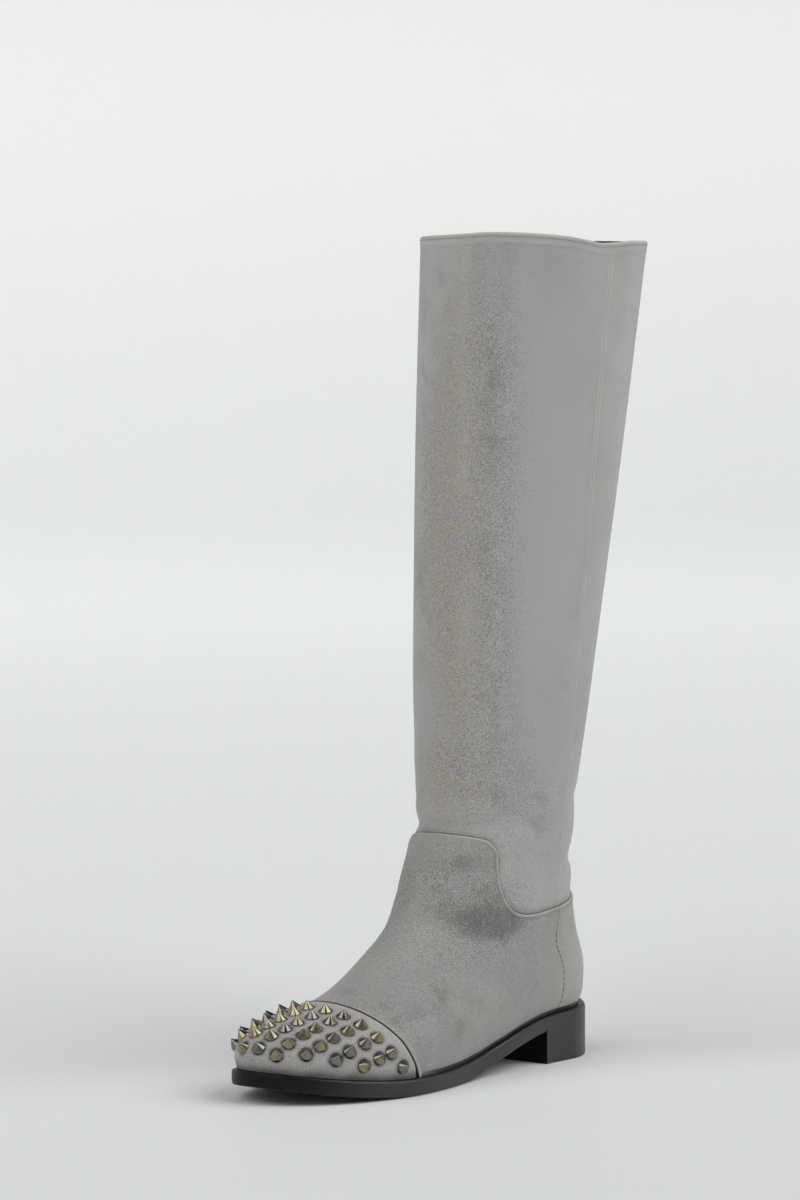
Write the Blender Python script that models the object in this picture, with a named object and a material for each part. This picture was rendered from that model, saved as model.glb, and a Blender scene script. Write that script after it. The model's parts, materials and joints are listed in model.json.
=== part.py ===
"""Knee-high suede boot for the left foot, with a studded toe cap and a half-length zip on its inner side.

Sizes are millimetres until a mesh is made. s runs forward from the back of the heel seat, x to the
outer (lateral) side and z up from the floor. In the model the toe points to -Y and the outer side to +X.
"""
import math

import bmesh
import bpy
import numpy as np
from mathutils import Matrix, Vector

MM = 0.001

# Driving sizes
WALL = 2.2
GAP = 0.3
VAMP_LAP = 0.8
CAP_THICKNESS = 1.2
CAP_GAP = 0.6
INSOLE_THICKNESS = 3.0
HEEL_BREAST = 55.0
TOE_SWING = 6.0
SWING_START = 130.0

# Place of the model's origin: half way between the tip of the foremost stud and the back of the collar
ORIGIN_S = 112.35

# The upper is a stack of contour sections from the feather line at the sole (first row) to the collar.
# front and back give the foremost and rearmost point of a section, fore, mid and rear its half widths at
# three stations to the lateral and the medial side, and front_round and back_round the length of its
# rounded ends. follow is how far it dips with the waist of the sole, and zip the place of the zip in turns.
STATIONS = {"rear": 35.0, "mid": 105.0, "fore": 180.0}
SECTION_COLUMNS = (
    "front_s", "front_z", "back_s", "back_z", "fore_lat", "fore_med", "mid_lat", "mid_med",
    "rear_lat", "rear_med", "front_round", "back_round", "follow", "zip")
SECTIONS = np.array((
    (253.5, 17.2, 7, 27, 41, 37, 31.5, 27, 26.5, 26.5, 72, 30, 1.00, 0.700),
    (252.5, 25, 5, 36, 42, 37.5, 34.5, 30, 29, 29, 74, 31, 0.95, 0.700),
    (249, 31, 5, 44, 42.5, 38, 36, 32, 30, 30, 82, 32, 0.85, 0.700),
    (235, 36.5, 5.5, 51.5, 42.5, 38.5, 36.5, 33.5, 30.5, 30.5, 95, 33, 0.75, 0.702),
    (212, 41.5, 7.5, 59, 42.5, 39, 37, 35, 30.5, 30.5, 105, 34, 0.60, 0.708),
    (189, 48, 10, 66, 42, 39, 37, 36, 30.5, 30.5, 95, 35, 0.50, 0.717),
    (163, 61.5, 12.5, 74, 42, 39, 37, 36, 31, 31, 82, 36, 0.35, 0.727),
    (139.5, 78.5, 14.5, 82.5, 41, 39, 37, 36, 32, 32, 70, 38, 0.20, 0.738),
    (128, 100.5, 16.5, 93, 40, 39, 37, 36, 33.5, 33.5, 60, 41, 0.10, 0.745),
    (115, 125.5, 18, 105, 40, 40, 38, 38, 36, 36, 50, 43, 0, 0.750),
    (109.5, 151, 17, 126, 41, 41, 40, 40, 39, 39, 47, 47, 0, 0.750),
    (107, 201, 9.5, 185, 45.5, 45.5, 45.5, 45.5, 45.5, 45.5, 49, 49, 0, 0.750),
    (103, 262, -1.5, 255, 50.5, 50.5, 50.5, 50.5, 50.5, 50.5, 52.5, 52.5, 0, 0.750),
    (98, 334, -13.5, 330, 55.5, 55.5, 55.5, 55.5, 55.5, 55.5, 56, 56, 0, 0.750),
    (91.5, 440, -32.5, 438, 60, 60, 60, 60, 60, 60, 62, 62, 0, 0.750)))
COLLAR_ROW = len(SECTIONS) - 1

# Height of the feather line, where the upper meets the sole, and of the sole's underside: s, z
FEATHER = np.array((
    (-10, 27.3), (0, 27), (30, 26.5), (55, 25.2), (80, 21.6), (100, 16.8), (120, 12), (140, 9.6),
    (160, 8.8), (180, 9), (200, 10), (220, 12), (240, 14.8), (255, 17.2), (270, 20)))
UNDERSIDE = np.array((
    (-10, 18.7), (0, 18.5), (55, 17), (80, 13.2), (100, 8.2), (115, 3.8), (130, 1), (145, 0),
    (180, 0), (200, 1.2), (220, 3.2), (240, 6.2), (255, 9), (270, 12)))

# Soft folds at the ankle. turn is the place around the leg and spread its reach, both in turns.
FOLD_COLUMNS = ("height", "turn", "spread", "half_height", "depth")
FOLDS = (
    (129, 0.00, 0.22, 6.0, 2.2),
    (136, 0.47, 0.20, 8.0, 2.0),
    (103, 0.46, 0.20, 7.0, 2.2),
    (119, 0.46, 0.20, 8.0, -0.8))

# Top edge of the vamp, lapped over the shaft: place around the leg in turns from the front, section row.
# LAP_RUN is the step's height in section rows.
VAMP_LINE = np.array((
    (0.000, 9.03), (0.110, 9.00), (0.133, 8.85), (0.150, 8.45), (0.170, 7.95), (0.190, 7.55),
    (0.210, 7.28), (0.240, 7.12), (0.310, 7.05), (0.360, 7.50), (0.420, 8.10), (0.500, 8.40)))
LAP_RUN = 0.05

# Rear edge of the toe cap: height, s. The cap's mesh rows are section rows.
CAP_LINE = np.array(((5, 181), (9, 183), (16, 186.5), (23, 192), (33, 197), (41, 198.5), (46, 201)))
CAP_ROWS = (0.12, 0.6, 1.1, 1.6, 2.1, 2.6, 3.1, 3.5, 3.85, 4.12, 4.34)

# Rows of studs: ahead is the distance from the cap's edge at the ridge, fall_back how much of it is lost
# with each stud towards the sole, and first the arc from the ridge to the first stud on each side.
STUD_COLUMNS = ("ahead", "fall_back", "first_lat", "first_med", "count_lat", "count_med")
STUD_ROWS = (
    (11.7, 1.3, 9.0, 2.4, 6, 6),
    (22.1, 1.7, 8.8, 2.4, 5, 6),
    (32.1, 1.5, 8.4, 2.9, 5, 5),
    (40.7, 1.4, 8.0, 2.9, 4, 4),
    (49.1, 1.4, 6.5, 3.8, 3, 3),
    (56.2, 0.8, 4.0, 6.9, 2, 1))
STUD_PITCH = 10.5
STUD_RADIUS = 3.4
STUD_FLANGE = 0.6
STUD_HEIGHT = 4.3
STUD_SIDES = 10

# Sole edge: share of the thickness from the underside, stand-out from the feather line
SOLE_EDGE = (
    (0.00, 2.5), (0.10, 3.2), (0.48, 3.5), (0.53, 2.9), (0.59, 2.9), (0.64, 3.5), (0.90, 3.4), (1.00, 2.7))
HEEL_EDGE = ((0.00, 2.4), (0.06, 3.0), (1.00, 3.4))

# Zip
ZIP_WIDTH = 9.0
ZIP_BOTTOM_Z = 42.0
ZIP_TOP_Z = 222.0
TAPE_DEPTH = 0.7
TAPE_THICKNESS = 1.1
TAPE_END_LOW = 0.04
TAPE_END_HIGH = 0.01
CHAIN_HALF = 2.3
CHAIN_RISE = 0.6
SLIDER_LENGTH = 11.0
SLIDER_WIDTH = 7.4
SLIDER_THICKNESS = 2.6
SLIDER_NOSE = 0.72
SLIDER_SHOULDER = 0.6
SLIDER_EDGE_LEVEL = 0.7
SLIDER_TOP_SCALE = 0.9
SLIDER_BELOW_TOP = 9.0
BRIDGE_WIDTH = 1.8
BRIDGE_SPAN = 4.4
BRIDGE_HEIGHT = 4.4
BRIDGE_BAR = 1.3
BRIDGE_SINK = 0.6
PULL_LENGTH = 20.0
PULL_WIDTH = 6.4
PULL_THICKNESS = 1.4
PULL_EYE_LENGTH = 5.8
PULL_EYE_HALF = 1.4
PULL_BAR = 0.8
PULL_EYE_RIM = 1.1
PULL_EYE_END = 1.5
PULL_NECK = 2.5
PULL_CORNER = 2.0

# Mesh fineness
SIDE_COLUMNS = 22
ZIP_BACK_COLUMNS = 10
ZIP_FRONT_COLUMNS = 12
VAMP_SHARES = (0.0, 0.08, 0.16, 0.25, 0.34, 0.43, 0.52, 0.62, 0.72, 0.83, 0.92, 1.0)
SHAFT_SHARES = (0.0, 0.05, 0.10, 0.15, 0.20, 0.26, 0.33, 0.42, 0.52, 0.625, 0.74, 0.87, 1.0)
SOLE_STEPS = 26
INSOLE_STEPS = 22
HEEL_STEPS = 9
CAP_COLUMNS = 18
TAPE_STEPS = 24
BRIDGE_STEPS = 8


def smooth_curve(table_x, table_y, x):
    """Monotone cubic curve through a table, held at its end values."""
    x = np.clip(np.asarray(x, float), table_x[0], table_x[-1])
    step = np.diff(table_x)
    rise = np.diff(table_y) / step
    slope = np.concatenate((rise[:1], np.zeros(len(step) - 1), rise[-1:]))
    for i in range(1, len(step)):
        if rise[i - 1] * rise[i] > 0:
            near = 2 * step[i] + step[i - 1]
            far = step[i] + 2 * step[i - 1]
            slope[i] = (near + far) / (near / rise[i - 1] + far / rise[i])
    i = np.clip(np.searchsorted(table_x, x, "right") - 1, 0, len(step) - 1)
    t = (x - table_x[i]) / step[i]
    start = (2 * t**3 - 3 * t**2 + 1) * table_y[i] + (t**3 - 2 * t**2 + t) * step[i] * slope[i]
    end = (3 * t**2 - 2 * t**3) * table_y[i + 1] + (t**3 - t**2) * step[i] * slope[i + 1]
    return start + end


def along(table, x):
    return smooth_curve(table[:, 0], table[:, 1], x)


def section(name, row):
    """A column of the section table at any row number, also between rows."""
    rows = np.arange(len(SECTIONS), dtype=float)
    return smooth_curve(rows, SECTIONS[:, SECTION_COLUMNS.index(name)], row)


def to_model(x, s, z):
    return np.stack(np.broadcast_arrays(x, ORIGIN_S - s, z), -1)


def ease(t):
    t = np.clip(t, 0, 1)
    return t * t * (3 - 2 * t)


def round_end(t):
    """Width share at a distance t from a rounded end, 1 where the rounding is over."""
    t = np.clip(t, 0, 1)
    return np.sqrt(1 - (1 - t) ** 2)


def half_width(side, row, s):
    """Half width of a section at s, on the lateral side (1) or the medial side (-1)."""
    rear, mid, fore = (
        np.where(side > 0, section(name + "_lat", row), section(name + "_med", row)) for name in STATIONS)
    to_mid = ease((s - STATIONS["rear"]) / (STATIONS["mid"] - STATIONS["rear"]))
    to_fore = ease((s - STATIONS["mid"]) / (STATIONS["fore"] - STATIONS["mid"]))
    return rear + (mid - rear) * to_mid + (fore - mid) * to_fore


def swing(s):
    """Sideways place of the foot's centre line: the toe turns in."""
    reach = section("front_s", 0) - SWING_START
    return -TOE_SWING * np.clip((s - SWING_START) / reach, 0, None) ** 2


def upper_point(turn, row):
    """Point of the upper's outer form. turn is 0 at the toe, 0.25 lateral, 0.5 at the heel, 0.75 medial."""
    turn, row = np.broadcast_arrays(np.asarray(turn, float) % 1.0, np.asarray(row, float))
    side = np.where(turn <= 0.5, 1.0, -1.0)
    angle = np.where(turn <= 0.5, turn, 1 - turn) * 2 * math.pi
    front_s, back_s = section("front_s", row), section("back_s", row)
    share = (1 - np.cos(angle)) / 2
    s = front_s + (back_s - front_s) * share
    feather_front, feather_back = section("front_s", 0), section("back_s", 0)
    chord = section("front_z", 0) + (section("back_z", 0) - section("front_z", 0)) * share
    dip = along(FEATHER, feather_front + (feather_back - feather_front) * share) - chord
    z = section("front_z", row) + (section("back_z", row) - section("front_z", row)) * share
    front_end = round_end((front_s - s) / section("front_round", row))
    back_end = round_end((s - back_s) / section("back_round", row))
    x = swing(s) + side * half_width(side, row, s) * front_end * back_end
    return to_model(x, s, z + section("follow", row) * dip)


def unit(vectors):
    return vectors / np.linalg.norm(vectors, axis=-1, keepdims=True)


def upper_normal(turn, row):
    turn, row = np.broadcast_arrays(np.asarray(turn, float), np.asarray(row, float))
    turn_step, row_step = 2e-4, 2e-3
    around = upper_point(turn + turn_step, row) - upper_point(turn - turn_step, row)
    below, above = np.clip(row - row_step, 0, COLLAR_ROW), np.clip(row + row_step, 0, COLLAR_ROW)
    return unit(np.cross(around, upper_point(turn, above) - upper_point(turn, below)))


def fold_depth(turn, z):
    total = 0.0
    for height, centre, spread, half_height, depth in FOLDS:
        away = np.abs((turn - centre + 0.5) % 1.0 - 0.5)
        reach = ease(1 - away / spread)
        total = total + depth * reach * np.exp(-((z - height) / half_height) ** 2)
    return total


def upper_surface(turn, row, offset=0.0):
    """The upper's form, folds included, moved outward by an offset."""
    turn, row = np.broadcast_arrays(np.asarray(turn, float), np.asarray(row, float))
    point = upper_point(turn, row)
    outward = np.asarray(offset) - fold_depth(turn, point[..., 2])
    return point + upper_normal(turn, row) * outward[..., None]


def vamp_row(turn):
    turn = np.asarray(turn, float) % 1.0
    return along(VAMP_LINE, np.where(turn <= 0.5, turn, 1 - turn))


def zip_half_turn(row):
    """Half the zip slot's width, in turns."""
    centre, step = section("zip", row), 1e-3
    chord = upper_point(centre + step, row) - upper_point(centre - step, row)
    return ZIP_WIDTH / 2 * 2 * step / np.linalg.norm(chord, axis=-1)


def column_turns(row):
    """Turns of the mesh columns at one row: even on the lateral side, set to the zip's edges on the medial."""
    edge = zip_half_turn(row)
    lateral = np.linspace(0, 0.5, SIDE_COLUMNS, endpoint=False)
    behind = np.linspace(0.5, section("zip", row) - edge, ZIP_BACK_COLUMNS + 1)
    ahead = np.linspace(section("zip", row) + edge, 1.0, ZIP_FRONT_COLUMNS, endpoint=False)
    return np.concatenate((lateral, behind, ahead))


ZIP_COLUMN = SIDE_COLUMNS + ZIP_BACK_COLUMNS


def upper_rows():
    """Mesh rows: share of the way to the vamp line or from it to the collar, and the wall's stand-out."""
    vamp = [("vamp", share, VAMP_LAP) for share in VAMP_SHARES]
    shaft = [("shaft", share, 0.0) for share in SHAFT_SHARES]
    return vamp + shaft


def row_numbers(kind, share, turns):
    line = vamp_row(turns)
    if kind == "vamp":
        return line * share
    start = line + LAP_RUN
    return start + (COLLAR_ROW - start) * share


def row_turns_and_numbers(kind, share):
    """Column turns and section rows along one mesh row, settled together as each depends on the other."""
    columns = SIDE_COLUMNS + ZIP_BACK_COLUMNS + ZIP_FRONT_COLUMNS + 1
    numbers = row_numbers(kind, share, np.linspace(0, 1, columns))
    for _ in range(4):
        turns = column_turns(numbers[ZIP_COLUMN])
        numbers = row_numbers(kind, share, turns)
    return turns, numbers


def material(name, colour, roughness, metallic=0.0):
    found = bpy.data.materials.new(name)
    found.use_nodes = True
    shader = found.node_tree.nodes["Principled BSDF"]
    shader.inputs["Base Color"].default_value = (*colour, 1.0)
    shader.inputs["Roughness"].default_value = roughness
    shader.inputs["Metallic"].default_value = metallic
    found.diffuse_color = (*colour, 1.0)
    return found


def add_object(name, bm, finish, place=None, smooth_angle=40.0):
    """Turn a bmesh in millimetres into a named object, its origin at place."""
    bmesh.ops.recalc_face_normals(bm, faces=bm.faces)
    origin = Vector(place) if place is not None else Vector((0, 0, 0))
    bmesh.ops.transform(bm, matrix=Matrix.Scale(MM, 4) @ Matrix.Translation(-origin), verts=bm.verts)
    mesh = bpy.data.meshes.new(name)
    bm.to_mesh(mesh)
    bm.free()
    mesh.shade_smooth()
    mesh.set_sharp_from_angle(angle=math.radians(smooth_angle))
    mesh.materials.append(finish)
    item = bpy.data.objects.new(name, mesh)
    item.location = origin * MM
    bpy.context.scene.collection.objects.link(item)
    return item


def add_loop(bm, points):
    return [bm.verts.new(tuple(point)) for point in points]


def join_loops(bm, lower, upper, closed=True):
    count = len(lower)
    for i in range(count if closed else count - 1):
        j = (i + 1) % count
        bm.faces.new((lower[i], lower[j], upper[j], upper[i]))


def close_with_rungs(bm, loop):
    """Close a loop that starts at the toe tip by rungs between its lateral and medial points."""
    half = len(loop) // 2
    bm.faces.new((loop[0], loop[1], loop[-1]))
    for i in range(1, half - 1):
        bm.faces.new((loop[i], loop[i + 1], loop[-i - 1], loop[-i]))
    bm.faces.new((loop[half - 1], loop[half], loop[half + 1]))


def make_upper(finish):
    bm = bmesh.new()
    outer, inner, heights = [], [], []
    for kind, share, lap in upper_rows():
        turns, numbers = row_turns_and_numbers(kind, share)
        outside = upper_surface(turns, numbers, lap)
        inside = upper_surface(turns, numbers, -WALL)
        if kind == "vamp" and share == 0.0:
            outside = upper_point(turns, numbers)
            level = unit(upper_normal(turns, numbers) * (1, 1, 0))
            inside = outside - level * WALL
        if kind == "shaft" and share == 1.0:
            inside[:, 2] = outside[:, 2]
        heights.append(outside[ZIP_COLUMN, 2])
        outer.append(add_loop(bm, outside))
        inner.append(add_loop(bm, inside))
    columns = len(outer[0])

    def in_slot(row, column):
        middle = (heights[row] + heights[row + 1]) / 2
        return column == ZIP_COLUMN and ZIP_BOTTOM_Z < middle < ZIP_TOP_Z

    for row in range(len(outer) - 1):
        for column in range(columns):
            after = (column + 1) % columns
            corners = ((row, column), (row, after), (row + 1, after), (row + 1, column))
            if not in_slot(row, column):
                bm.faces.new([outer[r][c] for r, c in corners])
                bm.faces.new([inner[r][c] for r, c in reversed(corners)])
                continue
            beside = ((row - 1, column), (row, after), (row + 1, column), (row, column - 1))
            for side, neighbour in enumerate(beside):
                if not in_slot(*neighbour):
                    (r1, c1), (r2, c2) = corners[side], corners[(side + 1) % 4]
                    bm.faces.new((outer[r1][c1], outer[r2][c2], inner[r2][c2], inner[r1][c1]))
    join_loops(bm, inner[0], outer[0])
    join_loops(bm, outer[-1], inner[-1])
    return add_object("upper", bm, finish, smooth_angle=50.0)


def zip_slot_ends():
    """Section rows at the two ends of the zip slot."""
    levels = []
    for kind, share, lap in upper_rows():
        turns, numbers = row_turns_and_numbers(kind, share)
        levels.append((upper_surface(turns, numbers, lap)[ZIP_COLUMN, 2], numbers[ZIP_COLUMN]))
    inside = []
    for low, high in zip(levels, levels[1:]):
        if ZIP_BOTTOM_Z < (low[0] + high[0]) / 2 < ZIP_TOP_Z:
            inside += [low[1], high[1]]
    return min(inside), max(inside)


def sole_outline(stand_out, steps):
    """Plan of the sole, outside the feather line by stand_out, from the toe tip over the lateral side."""
    turns = np.arange(2 * steps) / (2 * steps)
    feather = upper_point(turns, 0.0)
    level = unit(upper_normal(turns, 0.0) * (1, 1, 0))
    return feather[:, :2] + level[:, :2] * stand_out


def s_of(points):
    return ORIGIN_S - points[:, 1]


def make_outsole(finish):
    bm = bmesh.new()
    loops = []
    for share, stand_out in SOLE_EDGE:
        plan = sole_outline(stand_out, SOLE_STEPS)
        low, high = along(UNDERSIDE, s_of(plan)), along(FEATHER, s_of(plan)) - GAP
        loops.append(add_loop(bm, np.column_stack((plan, low + (high - low) * share))))
    for lower, upper in zip(loops, loops[1:]):
        join_loops(bm, lower, upper)
    close_with_rungs(bm, loops[0])
    close_with_rungs(bm, loops[-1])
    return add_object("outsole", bm, finish)


def heel_outline(stand_out):
    """Lateral half of the heel's plan from its breast to its back, then the medial half back to the breast."""
    plan = sole_outline(stand_out, 8 * HEEL_STEPS)
    half = len(plan) // 2
    sides = []
    for points in (plan[: half + 1], np.vstack((plan[:1], plan[:half - 1:-1]))):
        s = s_of(points)
        reach = HEEL_BREAST - s[-1]
        wanted = HEEL_BREAST - reach * np.sin(np.linspace(0, math.pi / 2, HEEL_STEPS + 1))
        x = np.interp(wanted, s[::-1], points[::-1, 0])
        sides.append(np.column_stack((x, ORIGIN_S - wanted)))
    return np.vstack((sides[0], sides[1][-2::-1]))


def make_heel(finish):
    bm = bmesh.new()
    loops = []
    for share, stand_out in HEEL_EDGE:
        plan = heel_outline(stand_out)
        top = along(UNDERSIDE, s_of(plan)) - GAP
        loops.append(add_loop(bm, np.column_stack((plan, top * share))))
    for lower, upper in zip(loops, loops[1:]):
        join_loops(bm, lower, upper)
    for loop in (loops[0], loops[-1]):
        count = len(loop)
        for i in range(count // 2 - 1):
            bm.faces.new((loop[i], loop[i + 1], loop[-i - 2], loop[-i - 1]))
        middle = count // 2
        bm.faces.new((loop[middle - 1], loop[middle], loop[middle + 1]))
    return add_object("heel", bm, finish)


def make_insole(finish):
    bm = bmesh.new()
    plan = sole_outline(-WALL - 2 * GAP, INSOLE_STEPS)
    base = along(FEATHER, s_of(plan))
    lower = add_loop(bm, np.column_stack((plan, base)))
    upper = add_loop(bm, np.column_stack((plan, base + INSOLE_THICKNESS)))
    join_loops(bm, lower, upper)
    close_with_rungs(bm, lower)
    close_with_rungs(bm, upper)
    return add_object("insole", bm, finish)


def line_ahead_of_cap(ahead, rows, side):
    """Turns where each section row crosses the line that lies a distance ahead of the cap's edge."""
    low, high = np.zeros(len(rows)), np.full(len(rows), 0.45)
    for _ in range(40):
        middle = (low + high) / 2
        point = upper_point(middle if side > 0 else -middle, rows)
        in_front = s_of(point) > along(CAP_LINE, point[:, 2]) + ahead
        low, high = np.where(in_front, middle, low), np.where(in_front, high, middle)
    return side * (low + high) / 2


def ridge_row(ahead):
    """Section row whose foremost point lies on the line ahead of the cap's edge."""
    low, high = 0.0, float(COLLAR_ROW)
    for _ in range(50):
        middle = (low + high) / 2
        point = upper_point(np.zeros(1), np.full(1, middle))
        if s_of(point)[0] > along(CAP_LINE, point[0, 2]) + ahead:
            low = middle
        else:
            high = middle
    return low


CAP_INNER = VAMP_LAP + CAP_GAP
CAP_OUTER = CAP_INNER + CAP_THICKNESS


def make_toe_cap(finish):
    bm = bmesh.new()
    rows = np.array(CAP_ROWS)
    lateral, medial = line_ahead_of_cap(0.0, rows, 1), line_ahead_of_cap(0.0, rows, -1)
    shares = np.linspace(0, 1, CAP_COLUMNS + 1)
    sides = []
    for offset in (CAP_INNER, CAP_OUTER):
        loops = []
        for row, right, left in zip(rows, lateral, medial):
            loops.append(add_loop(bm, upper_surface(left + (right - left) * shares, row, offset)))
        tip = bm.verts.new(tuple(upper_surface(0.0, ridge_row(0.0), offset)))
        for lower, upper in zip(loops, loops[1:]):
            join_loops(bm, lower, upper, closed=False)
        for i in range(CAP_COLUMNS):
            bm.faces.new((loops[-1][i], loops[-1][i + 1], tip))
        rim = loops[0] + [loop[-1] for loop in loops[1:]] + [tip] + [loop[0] for loop in loops[:0:-1]]
        sides.append(rim)
    join_loops(bm, sides[0], sides[1])
    return add_object("toe_cap", bm, finish, smooth_angle=50.0)


def stud_place(ahead, side, reach):
    """Turn and section row of a stud on the line ahead of the cap's edge, at an arc length from the ridge."""
    rows = np.linspace(ridge_row(ahead), 0.0, 160)
    turns = line_ahead_of_cap(ahead, rows, side)
    turns[0] = 0.0
    path = upper_surface(turns, rows, CAP_OUTER)
    arc = np.concatenate(([0.0], np.cumsum(np.linalg.norm(np.diff(path, axis=0), axis=1))))
    return float(np.interp(reach, arc, turns)), float(np.interp(reach, arc, rows))


def stud_places():
    places = []
    for ahead, fall_back, first_lat, first_med, count_lat, count_med in STUD_ROWS:
        for side, first, count in ((1, first_lat, count_lat), (-1, first_med, count_med)):
            for number in range(count):
                places.append(stud_place(ahead - fall_back * number, side, first + STUD_PITCH * number))
    return places


def make_stud(name, turn, row, finish):
    seat = Vector(upper_surface(turn, row, CAP_OUTER + GAP))
    axis = Vector(upper_normal(turn, row))
    bm = bmesh.new()
    loops = []
    for radius, height in ((STUD_RADIUS, 0.0), (STUD_RADIUS, STUD_FLANGE)):
        angles = np.arange(STUD_SIDES) * 2 * math.pi / STUD_SIDES
        ring = np.column_stack((radius * np.cos(angles), radius * np.sin(angles), np.full(STUD_SIDES, height)))
        loops.append(add_loop(bm, ring))
    join_loops(bm, loops[0], loops[1])
    bm.faces.new(reversed(loops[0]))
    tip = bm.verts.new((0, 0, STUD_HEIGHT))
    for i in range(STUD_SIDES):
        bm.faces.new((loops[1][i], loops[1][(i + 1) % STUD_SIDES], tip))
    stud = add_object(name, bm, finish)
    stud.location = seat * MM
    stud.rotation_euler = axis.to_track_quat("Z", "Y").to_euler()
    return stud


def make_zip_tape(finish):
    """Tape in the slot with the closed chain raised along its middle."""
    low, high = zip_slot_ends()
    edge, floor = ZIP_WIDTH / 2 - GAP, -TAPE_DEPTH - TAPE_THICKNESS
    profile = (
        (-edge, -TAPE_DEPTH), (-CHAIN_HALF, -TAPE_DEPTH), (-CHAIN_HALF, CHAIN_RISE),
        (CHAIN_HALF, CHAIN_RISE), (CHAIN_HALF, -TAPE_DEPTH), (edge, -TAPE_DEPTH), (edge, floor), (-edge, floor))
    bm = bmesh.new()
    loops = []
    for row in np.linspace(low + TAPE_END_LOW, high - TAPE_END_HIGH, TAPE_STEPS + 1):
        centre, per_mm = section("zip", row), zip_half_turn(row) / (ZIP_WIDTH / 2)
        points = [upper_surface(centre + across * per_mm, row, rise) for across, rise in profile]
        loops.append(add_loop(bm, points))
    for lower, upper in zip(loops, loops[1:]):
        join_loops(bm, lower, upper)
    bm.faces.new(loops[0])
    bm.faces.new(reversed(loops[-1]))
    return add_object("zip_tape", bm, finish)


def slider_frame():
    """Seat of the slider on the chain, with axes across (towards the heel), down along the zip and outward."""
    _, high = zip_slot_ends()
    top = upper_surface(section("zip", high), high)[2]
    rows = np.linspace(high - 1.0, high, 400)
    points = upper_surface(section("zip", rows), rows)
    row = rows[np.argmin(np.abs(points[:, 2] - (top - SLIDER_BELOW_TOP)))]
    outward = Vector(upper_normal(section("zip", row), row))
    across = Vector((0, 0, 1)).cross(outward).normalized()
    across = across if across.y > 0 else -across
    down = outward.cross(across).normalized()
    down = down if down.z < 0 else -down
    seat = Vector(upper_surface(section("zip", row), row, CHAIN_RISE + GAP))
    return seat, across, down, outward


def frame_matrix(seat, across, down, outward):
    return Matrix.Translation(seat) @ Matrix((across, down, outward)).transposed().to_4x4()


def extrude_outline(outline, half_thickness):
    """Prism of an outline in the local down-outward plane, about the local across axis."""
    bm = bmesh.new()
    loops = [add_loop(bm, [(side * half_thickness, a, b) for a, b in outline]) for side in (-1, 1)]
    join_loops(bm, loops[0], loops[1])
    bm.faces.new(loops[0])
    bm.faces.new(loops[1])
    return bm


def bridge_outline():
    """Side view of the slider's bridge: an arch whose feet sink into the slider."""
    outline = []
    foot = SLIDER_THICKNESS - BRIDGE_SINK
    for inset in (0.0, BRIDGE_BAR):
        span, height = BRIDGE_SPAN - inset, BRIDGE_HEIGHT - inset
        angles = np.linspace(0, math.pi, BRIDGE_STEPS + 1)
        arch = [(span * math.cos(a), SLIDER_THICKNESS + height * math.sin(a)) for a in angles]
        run = [(span, foot), *arch, (-span, foot)]
        outline += run[::-1] if inset else run
    return outline


def make_zip_slider(finish, place):
    half, width = SLIDER_LENGTH / 2, SLIDER_WIDTH / 2
    shoulder, nose = -half * SLIDER_SHOULDER, width * SLIDER_NOSE
    plan = (
        (-width, shoulder), (-nose, -half), (nose, -half), (width, shoulder),
        (width, 0.0), (nose, half), (-nose, half), (-width, 0.0))
    levels = ((0.0, 1.0), (SLIDER_EDGE_LEVEL * SLIDER_THICKNESS, 1.0), (SLIDER_THICKNESS, SLIDER_TOP_SCALE))
    bm = bmesh.new()
    loops = [add_loop(bm, [(a * scale, b * scale, level) for a, b in plan]) for level, scale in levels]
    for lower, upper in zip(loops, loops[1:]):
        join_loops(bm, lower, upper)
    bm.faces.new(reversed(loops[0]))
    bm.faces.new(loops[-1])
    bmesh.ops.transform(bm, matrix=place, verts=bm.verts)
    slider = add_object("zip_slider", bm, finish)
    arch = extrude_outline(bridge_outline(), BRIDGE_WIDTH / 2)
    bmesh.ops.transform(arch, matrix=place, verts=arch.verts)
    bridge = add_object("slider_bridge_form", arch, finish)
    bridge.hide_render = True
    bridge.display_type = "WIRE"
    joined = slider.modifiers.new("bridge", "BOOLEAN")
    joined.operation = "UNION"
    joined.solver = "EXACT"
    joined.object = bridge
    return slider


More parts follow.
